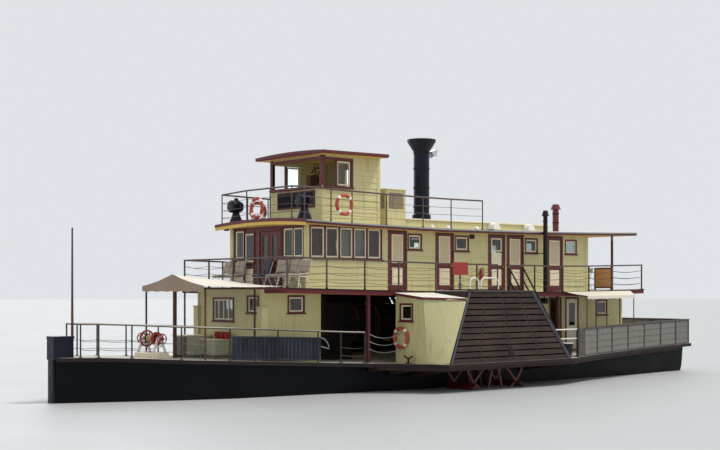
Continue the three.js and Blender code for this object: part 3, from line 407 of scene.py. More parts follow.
def new_finish(name, colour, rough, metal=0.0, shine=0.5):
    """A new material with its even values on the shader's own sockets."""
    material = bpy.data.materials.new(name)
    material.use_nodes = True
    tree = material.node_tree
    shader = tree.nodes["Principled BSDF"]
    shader.inputs["Base Color"].default_value = colour
    shader.inputs["Roughness"].default_value = rough
    shader.inputs["Metallic"].default_value = metal
    shader.inputs["Specular IOR Level"].default_value = shine
    return material, tree, shader


def put(tree, socket, value):
    """Links a socket, or sets a plain number or colour on it."""
    if isinstance(value, bpy.types.NodeSocket):
        tree.links.new(value, socket)
    else:
        socket.default_value = value


def place(tree, scale=(1, 1, 1)):
    """Object coordinates, scaled for a pattern."""
    where = tree.nodes.new("ShaderNodeTexCoord")
    mapping = tree.nodes.new("ShaderNodeMapping")
    mapping.inputs["Scale"].default_value = scale
    tree.links.new(where.outputs["Object"], mapping.inputs["Vector"])
    return mapping.outputs["Vector"]


def noise(tree, where, scale, detail=3.0, distortion=0.0):
    """Cloudy noise, about 0.3 to 0.7, at so many lumps a metre."""
    node = tree.nodes.new("ShaderNodeTexNoise")
    put(tree, node.inputs["Vector"], where)
    node.inputs["Scale"].default_value = scale
    node.inputs["Detail"].default_value = detail
    node.inputs["Distortion"].default_value = distortion
    return node.outputs["Fac"]


def span(tree, value, low, high, to_low=0.0, to_high=1.0):
    """Stretches low..high of a value to a new range and clips the rest."""
    node = tree.nodes.new("ShaderNodeMapRange")
    put(tree, node.inputs["Value"], value)
    for socket, number in zip(("From Min", "From Max", "To Min", "To Max"), (low, high, to_low, to_high)):
        node.inputs[socket].default_value = number
    return node.outputs["Result"]


def maths(tree, kind, first, second=0.0):
    """One sum on one or two values."""
    node = tree.nodes.new("ShaderNodeMath")
    node.operation = kind
    put(tree, node.inputs[0], first)
    put(tree, node.inputs[1], second)
    return node.outputs[0]


def blend(tree, factor, first, second):
    """From the first colour to the second as the factor goes from 0 to 1."""
    node = tree.nodes.new("ShaderNodeMix")
    node.data_type = "RGBA"
    put(tree, node.inputs["Factor"], factor)
    put(tree, node.inputs["A"], first)
    put(tree, node.inputs["B"], second)
    return node.outputs["Result"]


def relief(tree, shader, height, depth):
    """Makes a height of 0 to 1 stand so many metres out of the surface."""
    node = tree.nodes.new("ShaderNodeBump")
    node.inputs["Distance"].default_value = depth
    put(tree, node.inputs["Height"], height)
    put(tree, shader.inputs["Normal"], node.outputs["Normal"])


def split(tree, vector):
    """The three parts of a vector."""
    node = tree.nodes.new("ShaderNodeSeparateXYZ")
    put(tree, node.inputs[0], vector)
    return node.outputs


def facing(tree):
    """The surface's own direction, split in its three parts."""
    return split(tree, tree.nodes.new("ShaderNodeNewGeometry").outputs["Normal"])


print("a mid cream is", [round(v, 3) for v in paint("D8C88F")[:3]])

# %% Painted wood and iron
def painted(name, colour, worn, rough=0.5, dirt="4A4032", runs=0.35, patches=0.25, metal=0.0, grain=0.0006,
            shine=0.5):
    """Paint: base colour, faded patches of a worn colour, fine mottling and downward dirt runs."""
    material, tree, shader = new_finish(name, paint(colour), rough, metal, shine)
    still = place(tree)
    fade = span(tree, noise(tree, still, 0.9, 4.0), 0.42, 0.72, 0.0, patches)
    mottle = span(tree, noise(tree, still, 14.0, 5.0), 0.35, 0.65, 0.0, 0.22)
    tone = blend(tree, fade, paint(colour), paint(worn))
    tone = blend(tree, mottle, tone, paint(worn))
    streak = noise(tree, place(tree, (7.0, 7.0, 0.8)), 1.0, 4.0, 0.6)
    damp = span(tree, noise(tree, still, 0.5), 0.4, 0.6)
    run = maths(tree, "MULTIPLY", span(tree, streak, 0.52, 0.75), damp)
    tone = blend(tree, maths(tree, "MULTIPLY", run, runs), tone, paint(dirt))
    put(tree, shader.inputs["Base Color"], tone)
    polish = span(tree, noise(tree, still, 5.0, 3.0), 0.3, 0.7, rough - 0.1, rough + 0.12)
    put(tree, shader.inputs["Roughness"], polish)
    brush = noise(tree, place(tree, (3.0, 30.0, 90.0)), 1.0, 3.0, 0.4)
    relief(tree, shader, brush, grain)
    return material


CREAM = painted("cream_wall_paint", "CCC48F", "BCB281", 0.5, runs=0.3)
# A darker copy of the cream paint for the flared wall ahead of the paddle box, as painted shade.
CREAM_SHADED = painted("cream_painted_shade", "B6B082", "A69F73", 0.55, runs=0.3)
MAROON = painted("maroon_trim_paint", "5A161B", "6E2C2A", 0.42, dirt="2C1213", runs=0.4)
SASH = painted("cream_sash_paint", "EADFC0", "D8C8A0", 0.42, runs=0.25)
BLACK = painted("black_hull_paint", "05070B", "0D1017", 0.45, dirt="14100E", runs=0.3, patches=0.4,
                grain=0.002, shine=0.12)
NAVY = painted("navy_paint", "0E1222", "191D31", 0.38, dirt="0A0C12", patches=0.4, shine=0.22)
WHITE = painted("white_paint", "E9E7E0", "CFCBC0", 0.45, dirt="8C8474", runs=0.4)
IRON = painted("black_iron", "121114", "241D19", 0.55, dirt="4A2C1C", runs=0.5, patches=0.6, metal=0.1,
               grain=0.0012, shine=0.3)
RAIL = painted("rail_paint", "43302E", "6B5A54", 0.4, patches=0.4, grain=0.0004)
BAR_DARK = painted("dark_cap_paint", "2E2426", "4A3F3E", 0.45, patches=0.4, grain=0.0004)
STEEL = painted("galvanised_steel", "8C9092", "A8ABAB", 0.4, metal=0.5, patches=0.5, grain=0.0004)
BULWARK = painted("bulwark_paint", "6F6E67", "5D5C56", 0.6, runs=0.6, patches=0.6, grain=0.001)
RED = painted("red_paint", "8E1F1E", "A33A2E", 0.45, dirt="3C1614", runs=0.4, patches=0.4)
# Yellow paint brightened as painted reflected light from the water, for the roof's front beam.
SOFFIT_YELLOW_LIT = painted("yellow_soffit_painted_reflection", "E0B95A", "D3AA52", 0.5, runs=0.15)
TEAK = painted("varnished_screen", "EDB27C", "D0935C", 0.4, patches=0.5, runs=0.2)
ORANGE = painted("buoy_canvas_orange", "B24C38", "9A4030", 0.65, patches=0.4, runs=0.2)
# The paddle wheel's dark red is red paint, darkened further as painted shade under the guard.
WHEEL_RED_SHADED = painted("paddle_wheel_paint_painted_shade", "521716", "66291F", 0.5, dirt="2A1512", runs=0.5, patches=0.5)
LOCKER = painted("locker_paint", "B4B39C", "9C9A84", 0.5, runs=0.4, patches=0.4)
print("painted finishes:", len(bpy.data.materials))

# %% [markdown]
# ## Wood, deck, roof and cloth
# Bare or thinly painted boards need a grain that runs along them and a seam at each edge. The deck
# is planked fore and aft, and its edge is a brown rubbing strake, so the finish looks at which way
# the surface faces: up is planking, sideways is strake. The roofs and the upper deck do the same,
# with a grey top, a maroon edge and a yellow underside. The underside's yellow is brightened as
# painted reflected light from the water. The bow rail's pipe takes the same finish, and its light
# top is a painted highlight over the rail's dark paint.

# %% Planks, strakes and weathered boards
def planked(name, plank, light, dark, edge, width=0.14):
    """Planks fore and aft: the plank's number is floor(out / width), its shade is random for each
    number, and the seam is the narrow part near a whole number. Sides have the edge colour."""
    material, tree, shader = new_finish(name, paint(plank), 0.75, shine=0.25)
    still = place(tree)
    across = maths(tree, "DIVIDE", split(tree, still)[1], width)
    number = maths(tree, "FLOOR", across)
    shade = tree.nodes.new("ShaderNodeTexWhiteNoise")
    shade.noise_dimensions = "1D"
    put(tree, shade.inputs["W"], number)
    grain = noise(tree, place(tree, (1.5, 45.0, 45.0)), 1.0, 4.0, 0.8)
    tone = blend(tree, shade.outputs["Value"], paint(dark), paint(light))
    tone = blend(tree, 0.55, tone, paint(plank))
    tone = blend(tree, span(tree, grain, 0.45, 0.7, 0.0, 0.45), tone, paint(dark))
    near = maths(tree, "ABSOLUTE", maths(tree, "SUBTRACT", maths(tree, "FRACT", across), 0.5))
    seam = span(tree, near, 0.455, 0.49)
    tone = blend(tree, seam, tone, paint("1E1A17"))
    wet = span(tree, noise(tree, still, 0.7, 4.0), 0.45, 0.65, 0.0, 0.5)
    tone = blend(tree, wet, tone, paint(dark))
    streak = span(tree, noise(tree, place(tree, (2.0, 2.0, 30.0)), 1.0, 4.0), 0.4, 0.7)
    side = blend(tree, streak, paint(edge), paint("221C1C"))
    up = span(tree, facing(tree)[2], 0.4, 0.6)
    put(tree, shader.inputs["Base Color"], blend(tree, up, side, tone))
    relief(tree, shader, maths(tree, "SUBTRACT", maths(tree, "MULTIPLY", grain, 0.3), seam), 0.003)
    return material


def boards(name, colour, light, along=(1.5, 40.0, 40.0), rough=0.75, shine=0.35):
    """Weathered boards: a grain of noise drawn out along the board, greyed where it stands proud."""
    material, tree, shader = new_finish(name, paint(colour), rough, shine=shine)
    grain = noise(tree, place(tree, along), 1.0, 5.0, 0.7)
    tone = blend(tree, span(tree, grain, 0.4, 0.68, 0.0, 0.55), paint(colour), paint(light))
    patch = span(tree, noise(tree, place(tree), 1.3, 4.0), 0.45, 0.7, 0.0, 0.5)
    tone = blend(tree, patch, tone, paint(light))
    put(tree, shader.inputs["Base Color"], tone)
    relief(tree, shader, grain, 0.0025)
    return material


def decked(name, top, edge, under, low=None):
    """A roof or upper deck: top colour looking up, edge colour sideways, under colour looking down,
    and below a height the colour of the legs that carry it. Colour by facing also paints light: the
    roofs' yellow under colour is brightened as painted reflected light, and the bow rail's light top
    is a painted highlight."""
    material, tree, shader = new_finish(name, paint(top), 0.6)
    still = place(tree)
    up = facing(tree)[2]
    stain = span(tree, noise(tree, still, 1.1, 5.0), 0.45, 0.7, 0.0, 0.45)
    fine = span(tree, noise(tree, still, 18.0, 4.0), 0.4, 0.7, 0.0, 0.3)
    crown = blend(tree, maths(tree, "MAXIMUM", stain, fine), paint(top), paint("7C776C"))
    rim = blend(tree, fine, paint(edge), paint("2E1E1C"))
    tone = blend(tree, span(tree, up, 0.3, 0.5), rim, crown)
    tone = blend(tree, span(tree, up, -0.5, -0.3), blend(tree, fine, paint(under), paint("C9A456")), tone)
    if low is not None:
        leg = span(tree, split(tree, still)[2], low - 0.005, low + 0.005)
        tone = blend(tree, leg, paint("4A1A1C"), tone)
    put(tree, shader.inputs["Base Color"], tone)
    relief(tree, shader, noise(tree, still, 30.0, 3.0), 0.001)
    return material


DECK = planked("deck_planking", "BCB7AC", "D4D0C6", "938D82", "2B2224")
SLAT = boards("dark_slat_boards", "281E1B", "483A35", shine=0.25)
TIMBER = boards("brown_timber", "40281F", "6A4C3C", along=(12.0, 12.0, 1.2))
GUARD = boards("guard_timber", "30221E", "4A3A34", shine=0.25)
LOUVRE = boards("louvre_slats", "8A7A66", "A4957E", along=(12.0, 12.0, 1.2))
GREY_BOARD = boards("gangplank_boards", "2A3038", "454C55", along=(10.0, 10.0, 1.0), shine=0.25)
# The bright yellow under colours below are yellow paint brightened as painted reflected light from the water.
UPPER = decked("upper_deck_paint_reflection_under", "A7A294", "6A1A1F", "D8BE6A", low=wl(3.03))
CABIN_ROOF = decked("cabin_roof_paint_reflection_under", "D2CEC2", "7A7468", "F6CC6A", low=wl(5.2))
HOUSE_ROOF = decked("wheelhouse_roof_paint_reflection_under", "C9C5B8", "7A1E22", "E6BF62")
# The bow rail's light top colour is a painted highlight where the sun falls; its sides and underside keep the
# rail's dark paint.
BOW_PIPE = decked("bow_rail_painted_highlight", "D8D4CE", "2A2422", "2A2422")
print("board finishes made")

# %% Canvas, curtains, rope, glass and brass
def cloth(name, colour, stained, weave=160.0):
    """Woven cloth: two sets of threads, the sine of along and of across, over and under."""
    material, tree, shader = new_finish(name, paint(colour), 0.9)
    still = place(tree)
    x, y, z = split(tree, still)
    warp = maths(tree, "SINE", maths(tree, "MULTIPLY", maths(tree, "ADD", x, z), weave * 2))
    weft = maths(tree, "SINE", maths(tree, "MULTIPLY", maths(tree, "ADD", y, z), weave * 2))
    thread = span(tree, maths(tree, "MULTIPLY", warp, weft), -1.0, 1.0)
    mark = span(tree, noise(tree, still, 1.4, 5.0, 0.5), 0.48, 0.75, 0.0, 0.55)
    tone = blend(tree, mark, paint(colour), paint(stained))
    tone = blend(tree, span(tree, thread, 0.0, 1.0, 0.0, 0.12), tone, paint(stained))
    put(tree, shader.inputs["Base Color"], tone)
    shader.inputs["Sheen Weight"].default_value = 0.15
    relief(tree, shader, thread, 0.0006)
    return material


def glazed(name, tint, rough=0.04):
    """Window glass: clear, slightly tinted, very smooth."""
    material, tree, shader = new_finish(name, paint(tint), rough)
    shader.inputs["Transmission Weight"].default_value = 1.0
    shader.inputs["IOR"].default_value = 1.45
    ripple = noise(tree, place(tree), 2.5, 2.0)
    relief(tree, shader, ripple, 0.004)
    return material


def metal_finish(name, colour, rough):
    """Bright metal with fine uneven polish."""
    material, tree, shader = new_finish(name, paint(colour), rough, 1.0)
    polish = span(tree, noise(tree, place(tree), 20.0, 4.0), 0.3, 0.7, rough - 0.1, rough + 0.15)
    put(tree, shader.inputs["Roughness"], polish)
    return material


CANVAS = cloth("awning_canvas", "D6CFC2", "B8B0A2")
CURTAIN = cloth("red_curtain_cloth", "8C3038", "642228", 220.0)
PALE_CURTAIN = cloth("pale_curtain_cloth", "DAD6CC", "B4B0A8", 220.0)
SEAT = cloth("seat_cloth", "A39684", "857866", 260.0)
ROPE = boards("hemp_rope", "A08C68", "C4B28C", along=(60.0, 60.0, 60.0), rough=0.9)
GLASS = glazed("window_glass", "C9D2D0")
LENS = glazed("lamp_lens", "E6ECF2", 0.02)
BRASS = metal_finish("brass", "B08A3C", 0.3)
CHROME = metal_finish("bright_steel", "C6C8CA", 0.25)
print("all finishes:", len(bpy.data.materials))

# %% [markdown]
# ## Painting the solids
# Each solid that stays in view gets the finish of its real part. The solids that a later piece
# stands for are painted too, so nothing is ever left bare.

# %% Finishes for the solids
BY_PART = {
    "hull": BLACK, "stem_post": NAVY, "main_deck": DECK, "paddle_guard": GUARD, "rudder": IRON,
    # the paddle wheel's red is darkened as painted shade
    "paddle_shaft": IRON, "paddle_wheel": WHEEL_RED_SHADED, "paddle_box": SLAT, "sponson_house": CREAM,
    "fore_deckhouse": CREAM, "aft_deckhouse": CREAM, "boiler": IRON, "upper_deck": UPPER,
    "cabin_side": CREAM, "cabin_front": MAROON, "cabin_aft": CREAM, "cabin_door": MAROON,
    "saloon_door": MAROON, "aft_door": SASH, "cabin_roof": CABIN_ROOF, "wheelhouse_roof": HOUSE_ROOF,
    "wheelhouse": CREAM, "helm_stand": TIMBER, "helm": TIMBER, "skylight": CREAM, "funnel": NAVY,
    "stovepipe": IRON, "galley_flue": MAROON, "bow_rail": RAIL, "fore_upper_rail": RAIL,
    "aft_upper_rail": RAIL, "roof_rail": STEEL, "stern_bulwark": BULWARK, "stair": IRON,
    "fore_awning": CANVAS, "awning_frame": TIMBER, "aft_awning": CANVAS, "windlass": RED,
    "deck_locker": LOCKER, "gangplank": GREY_BOARD,
}
for name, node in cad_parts.items():
    part = max((key for key in BY_PART if name.startswith(key)), key=len)
    node.data.materials.clear()
    node.data.materials.append(BY_PART[part])
print("painted", len(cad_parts), "solids")

# %% [markdown]
# ## Floor and light
# A plain pale floor lies at the waterline, so the ship shows as it floats. A big soft lamp stands
# high on the far side, as the sun did, and the pale sky fills the shaded side that faces us.

# %% Stage
FLOOR_REACH, SKY_COLOUR, SKY_STRENGTH = 900.0, (0.93, 0.96, 1.0, 1.0), 0.8
floor_corners = [(x * FLOOR_REACH, y * FLOOR_REACH, DRAFT) for x, y in ((-1, -1), (1, -1), (1, 1), (-1, 1))]
floor_mesh = bpy.data.meshes.new("floor")
floor_mesh.from_pydata(floor_corners, [], [(0, 1, 2, 3)])
floor = bpy.data.objects.new("floor", floor_mesh)
bpy.context.scene.collection.objects.link(floor)
floor_finish, floor_tree, floor_shader = new_finish("pale_floor", paint("A9ACAE"), 0.6)
floor_polish = span(floor_tree, noise(floor_tree, place(floor_tree), 0.4), 0.3, 0.7, 0.5, 0.6)
put(floor_tree, floor_shader.inputs["Roughness"], floor_polish)
floor_mesh.materials.append(floor_finish)

world = bpy.data.worlds.new("sky")
bpy.context.scene.world = world
world.use_nodes = True
sky = world.node_tree.nodes["Background"]
sky.inputs["Color"].default_value = SKY_COLOUR
sky.inputs["Strength"].default_value = SKY_STRENGTH


def sun(name, towards, strength, angle, colour):
    """A lamp as far as the sun that shines along a direction, softened over an angle in degrees."""
    data = bpy.data.lights.new(name, "SUN")
    data.energy, data.angle, data.color = strength, math.radians(angle), colour
    lamp = bpy.data.objects.new(name, data)
    direction = np.array(towards, float) / np.linalg.norm(towards)
    lamp.rotation_euler = (math.acos(-direction[2]), 0, math.atan2(direction[0], -direction[1]))
    bpy.context.scene.collection.objects.link(lamp)


sun("key_light", (0.45, -0.35, -1.0), 2.6, 12.0, (1.0, 0.95, 0.86))
sun("fill_light", (0.3, 0.9, -0.35), 0.9, 60.0, (0.95, 0.97, 1.0))
bpy.context.scene.view_settings.view_transform = "Standard"
print("stage set at", DRAFT, "m")

# %% [markdown]
# ## Windows of the side walls
# A window is three things: maroon boards round the hole, a cream sash inside it, and a pane. They
# are made for all windows of a wall in one array, in wall space, on the starboard side, and the
# mirror image serves the port side. The saloon's long opening holds five sashes between mullions.

# %% Side window trim, sashes and panes
CABIN_HALF, LOWER_HALF, FORE_HALF, HOUSE_HALF = 2.08, 2.10, 1.80, 1.40
BANK = (7.79, 10.72, 4.31, 5.28)
SMALL = [(11.97, 12.52, 4.67, 5.13), (14.18, 14.77, 4.67, 5.13), (17.77, 18.36, 4.67, 5.13),
         (19.99, 20.56, 4.67, 5.13)]
TRIM, TRIM_BACK, TRIM_PROUD = 0.055, -0.01, 0.028
SASH_WIDE, SASH_BACK, MULLION, SILL_BELOW = 0.055, -0.05, 0.06, 0.03


def in_frame(rows):
    """Openings given as stations and heights, in the frame's own measures."""
    rows = np.asarray(rows, float).reshape(-1, 4)
    return np.concatenate([at(rows[:, :2]), wl(rows[:, 2:])], 1)


def shrunk(rows, by):
    """The same openings, smaller all round."""
    return np.asarray(rows, float) + np.array([by, -by, by, -by])


def shifted(shape, out):
    """A form moved outwards by so much."""
    return shape[0] + (0, out, 0), shape[1], shape[2]


def panes(rows, back=-0.034, thick=0.006):
    """A thin pane in each opening, set back in the wall."""
    left, right, foot, head = np.asarray(rows, float).T
    plane = np.full(len(left), back)
    return boxes(np.stack([left, right, plane, plane + thick, foot, head], 1))


def sills(rows, reach=0.09, drop=0.045, proud=0.06):
    """A ledge below each opening."""
    left, right, foot, _ = np.asarray(rows, float).T
    wall, top = foot * 0, foot - SILL_BELOW
    return boxes(np.stack([left - reach, right + reach, wall, wall + proud, top - drop, top], 1))


def trimmed(rows):
    """Boards round each opening and a ledge below it."""
    return merged(surrounds(rows, TRIM, TRIM_BACK, TRIM_PROUD), sills(rows))


u0, u1, v0, v1 = in_frame(BANK)[0]
lights, post = np.linspace(u0, u1, 6), MULLION / 2
bank_lights = [(lights[i] + post * (i > 0), lights[i + 1] - post * (i < 4), v0, v1) for i in range(5)]
mullions = boxes([(u - post, u + post, -0.055, 0.02, v0, v1) for u in lights[1:-1]])
small = in_frame(SMALL)
fore_window = in_frame([(7.15, 7.71, 2.58, 3.05)])
aft_window = in_frame([(21.8, 22.35, 2.35, 2.85)])
house_window = in_frame([(9.42, 9.98, 6.71, 7.51)])
cabin_rows = np.concatenate([bank_lights, small])

trim = [(merged(trimmed([(u0, u1, v0, v1)]), mullions, trimmed(small)), CABIN_HALF),
        (trimmed(fore_window), FORE_HALF), (trimmed(aft_window), LOWER_HALF)]
piece("side_window_trim", pair(merged(*[shifted(shape, out) for shape, out in trim])), MAROON,
      bevel=0.004)
walls = [(cabin_rows, CABIN_HALF), (fore_window, FORE_HALF), (aft_window, LOWER_HALF),
         (house_window, HOUSE_HALF)]
sashes = [shifted(surrounds(shrunk(rows, SASH_WIDE), SASH_WIDE - 0.002, SASH_BACK, -0.008), out)
          for rows, out in walls]
piece("side_window_sashes", pair(merged(*sashes)), SASH, bevel=0.004)
glass = [shifted(panes(shrunk(rows, SASH_WIDE - 0.01)), out) for rows, out in walls]
piece("side_window_glass", pair(merged(*glass)), GLASS)
print(len(cabin_rows), "sashes a side in the upper cabin")

# %% [markdown]
# ## Windows of the end walls
# The end walls are dressed in the same wall space and then carried round to face the bow or the
# stern. The saloon's front has a maroon middle with doors and cream panels at its sides.

# %% Front and aft windows
FRONT, CABIN_AFT, HOUSE_FRONT, HOUSE_AFT = 7.60, 21.24, 8.80, 11.25
FORE_FRONT, FORE_AFT, AFT_FRONT, AFT_AFT, SPONSON_FRONT = 6.10, 8.40, 17.05, 23.30, 10.60
BAR_FROM, BAR_TO = -0.24, 0.85


def wall_rows(*rows):
    """Openings given as places across the ship and heights above the water."""
    rows = np.array(rows, float)
    return np.concatenate([rows[:, :2], wl(rows[:, 2:])], 1)


saloon_lights = wall_rows((-1.93, -1.435, 4.33, 5.25), (-1.405, -0.91, 4.33, 5.25), (0.735, 1.25, 4.2, 5.15),
                          (1.33, 1.81, 4.33, 5.25))
fore_lights = wall_rows((BAR_FROM, BAR_TO, 2.31, 2.98), (-1.6, -1.07, 2.59, 3.05))
sponson_light = wall_rows((3.23, 3.75, 2.31, 2.79))
aft_lights = wall_rows((-1.5, -0.7, 4.31, 5.2), (0.7, 1.5, 4.31, 5.2))
pairs = wall_rows((-1.96, -0.88, 4.31, 5.27), (0.735, 1.25, 4.2, 5.15), (1.3, 1.84, 4.31, 5.27))


def end_sashes(rows):
    """A sash that fills each opening of an end wall."""
    return surrounds(shrunk(rows, 0.05), 0.048, SASH_BACK, -0.006)


def end_panes(rows):
    """A pane for each sash of an end wall."""
    return panes(shrunk(rows, 0.045))


def on_end_walls(make):
    """The same work for the deckhouse front, the guard houses' fronts and the cabin's after wall."""
    return merged(ahead(make(fore_lights), FORE_FRONT), pair(ahead(make(sponson_light), SPONSON_FRONT)),
                  astern(make(aft_lights), CABIN_AFT))


door_case = surrounds(wall_rows((-0.72, 0.385, 3.33, 5.2)), 0.07, TRIM_BACK, 0.03)
front_post = boxes([(-1.435, -1.405, -0.055, 0.02, wl(4.31), wl(5.27))])
front_trim = merged(surrounds(pairs, 0.05, TRIM_BACK, 0.03), sills(pairs, 0.05), door_case, front_post)
piece("saloon_front_trim", ahead(front_trim, FRONT), MAROON, bevel=0.004)
piece("saloon_front_sashes", ahead(end_sashes(saloon_lights), FRONT), SASH, bevel=0.004)
bars_at = np.linspace(BAR_FROM, BAR_TO, 5)[1:-1]
fore_bars = boxes([(y - 0.02, y + 0.02, SASH_BACK, 0.0, wl(2.31), wl(2.98)) for y in bars_at])
piece("deckhouse_front_trim", on_end_walls(trimmed), MAROON, bevel=0.004)
piece("deckhouse_front_sashes", merged(on_end_walls(end_sashes), ahead(fore_bars, FORE_FRONT)), SASH,
      bevel=0.004)
piece("end_window_glass", merged(ahead(end_panes(saloon_lights), FRONT), on_end_walls(end_panes)), GLASS)
print(len(saloon_lights) + len(fore_lights) + 2 + len(aft_lights), "end windows")

# %% [markdown]
# ## Weatherboards
# The cabins are clad in lapped boards, each leaning out a little at its foot so that rain drips
# clear. A board stops at every window and door. The wall is cut into level slices at each board's
# edge and each opening's edge, and a slice is laid wherever no opening lies across it.

# %% Weatherboards round the openings
BOARD_PITCH, FOOT_PROUD, HEAD_PROUD = 0.205, 0.02, 0.005


def weatherboards(reach, low, high, holes, pitch=BOARD_PITCH):
    """Lapped boards in wall space. At height v the face stands out by a straight line from the
    foot's proud to the head's proud across each board, and every slice is a four-cornered prism."""
    edges = np.arange(low, high, pitch)
    levels = sorted({*edges.tolist(), high, *[v for h in holes for v in h[2:] if low < v < high]})
    slices = []
    for bottom, top in zip(levels[:-1], levels[1:]):
        middle = (bottom + top) / 2
        foot = low + math.floor((middle - low) / pitch) * pitch
        proud = [FOOT_PROUD + (HEAD_PROUD - FOOT_PROUD) * (v - foot) / pitch for v in (bottom, top)]
        start = reach[0]
        for hole in sorted(h for h in holes if h[2] < middle < h[3]) + [(reach[1], reach[1], 0, 0)]:
            if hole[0] - start > 0.01:
                slices.append((start, hole[0], bottom, top, *proud))
            start = max(start, hole[1])
    a, b, v, w, p, q = np.array(slices).T
    zero = a * 0
    ring = [np.stack([x, out, up], 1) for x in (a, b) for out, up in ((zero, v), (p, v), (q, w), (zero, w))]
    return copies(np.stack(ring, 1), PRISM)


def clear_of(rows, by):
    """Openings with room for the trim round them, as plain tuples."""
    return [tuple(r) for r in shrunk(rows, -by)]


def doorway(half, sill, head):
    """The opening of a door in the middle of an end wall."""
    return wall_rows((-half, half, sill, head))


AFT_DOOR, HOUSE_DOOR, LOW_DOOR = 0.38, 0.35, 0.4
SIDE_DOORS = [(11.1, 11.82), (13.27, 14.02), (15.85, 16.6), (16.81, 17.58), (18.96, 19.74)]
CASING, CORNER, CABIN_FOOT, CABIN_HEAD, DOOR_SILL, DOOR_HEAD = 0.07, 0.11, 3.2, 5.36, 3.272, 5.24
HOUSE_OPENING, HOUSE_HEAD = (8.91, 10.0, 6.69, 7.53), 7.69
door_rows = in_frame([(a, b, DOOR_SILL, DOOR_HEAD) for a, b in SIDE_DOORS])
cabin_heights = (wl(CABIN_FOOT), wl(CABIN_HEAD))
end_reach = (CORNER - CABIN_HALF, CABIN_HALF - CORNER)
side_holes = clear_of(np.concatenate([[(u0, u1, v0, v1)], small]), TRIM) + clear_of(door_rows, CASING)
side_clad = weatherboards((at(FRONT) + CORNER, at(CABIN_AFT) - CORNER), *cabin_heights, side_holes)
aft_holes = clear_of(aft_lights, TRIM) + clear_of(doorway(AFT_DOOR, CABIN_FOOT, DOOR_HEAD), CASING)
aft_clad = weatherboards(end_reach, *cabin_heights, aft_holes)
front_holes = wall_rows((-0.88, 1.93, 3.0, 5.6), (-2.0, -0.85, 4.26, 5.6)).tolist()
front_clad = weatherboards(end_reach, *cabin_heights, front_holes)
cabin_clad = merged(pair(shifted(side_clad, CABIN_HALF)), astern(aft_clad, CABIN_AFT),
                    ahead(front_clad, FRONT))
piece("cabin_weatherboards", cabin_clad, CREAM)

house_open = clear_of(in_frame(HOUSE_OPENING), TRIM)
house_reach = (at(HOUSE_FRONT) + 0.09, at(HOUSE_AFT) - 0.09)
house_side = weatherboards(house_reach, wl(5.44), wl(HOUSE_HEAD), house_open)
house_front = weatherboards((-1.31, 1.31), wl(5.5), wl(6.61), [])
house_back = weatherboards((-1.31, 1.31), wl(5.5), wl(7.7), clear_of(doorway(HOUSE_DOOR, 5.3, 7.45), CASING))
house_clad = merged(pair(shifted(house_side, HOUSE_HALF)), ahead(house_front, HOUSE_FRONT),
                    astern(house_back, HOUSE_AFT))
piece("wheelhouse_weatherboards", house_clad, CREAM)
print("weatherboards in", len(side_clad[0]) // 8, "lengths a side")

# %% [markdown]
# ## Corner boards, casings and the saloon's panels
# Square boards cover the ends of the weatherboards at every corner. The saloon front is mostly
# maroon framing, with a cream panel low beside the doors.

# %% Corner boards, door casings and panels
def corner_boards(fore, aft, half, low, high, wide=0.11, proud=0.026):
    """Two boards at each corner of a house, one on each wall, on the starboard side."""
    return blocks((fore - proud, fore + wide, half, half + proud, low, high),
                  (fore - proud, fore, half - wide, half, low, high),
                  (aft - wide, aft + proud, half, half + proud, low, high),
                  (aft, aft + proud, half - wide, half, low, high))


def casing(rows, wide=CASING, proud=0.026):
    """Boards round each doorway."""
    return surrounds(rows, wide, -0.005, proud)


corners = merged(corner_boards(FRONT, CABIN_AFT, CABIN_HALF, CABIN_FOOT, CABIN_HEAD),
                 corner_boards(HOUSE_FRONT, HOUSE_AFT, HOUSE_HALF, 5.45, HOUSE_HEAD),
                 corner_boards(FORE_FRONT, FORE_AFT, FORE_HALF, 1.05, 3.16, 0.08, 0.015),
                 corner_boards(AFT_FRONT, AFT_AFT, LOWER_HALF, 0.98, 3.1, 0.08, 0.015))
piece("corner_boards", pair(corners), CREAM, bevel=0.004)
NARROW, LOW_PROUD, LOW_SILL, LOW_HEAD = 0.06, 0.024, 1.01, 2.95
low_doors = in_frame([(20.0, 20.64, LOW_SILL, LOW_HEAD), (19.09, 19.66, LOW_SILL, LOW_HEAD)])
side_casings = merged(shifted(casing(door_rows), CABIN_HALF),
                      shifted(casing(low_doors, NARROW, LOW_PROUD), LOWER_HALF))
piece("side_door_casings", pair(side_casings), MAROON, bevel=0.004)
end_casings = merged(astern(casing(doorway(AFT_DOOR, 3.292, DOOR_HEAD)), CABIN_AFT),
                     astern(casing(doorway(HOUSE_DOOR, 5.7, 7.45), NARROW, LOW_PROUD), HOUSE_AFT),
                     ahead(casing(doorway(LOW_DOOR, LOW_SILL, LOW_HEAD), NARROW, LOW_PROUD), AFT_FRONT),
                     astern(casing(doorway(LOW_DOOR, 1.06, 2.96), NARROW, LOW_PROUD), FORE_AFT))
piece("end_door_casings", end_casings, MAROON, bevel=0.004)
panels = [(a, b, 0.0, 0.014, low, high)
          for a, b, low, high in wall_rows((0.78, 1.21, 3.42, 3.98), (1.36, 1.82, 3.42, 4.2))]
piece("saloon_front_panels", ahead(boxes(panels), FRONT), SASH, bevel=0.008)
print("corner boards on four houses")

# %% [markdown]
# ## Door leaves
# Each leaf swings on its own body, so its cream glazing frame, low panel, glass and knob ride on
# that body too. A leaf's outside is flush with its wall, and everything on it stays within the
# leaf's outline, clear of the casing.

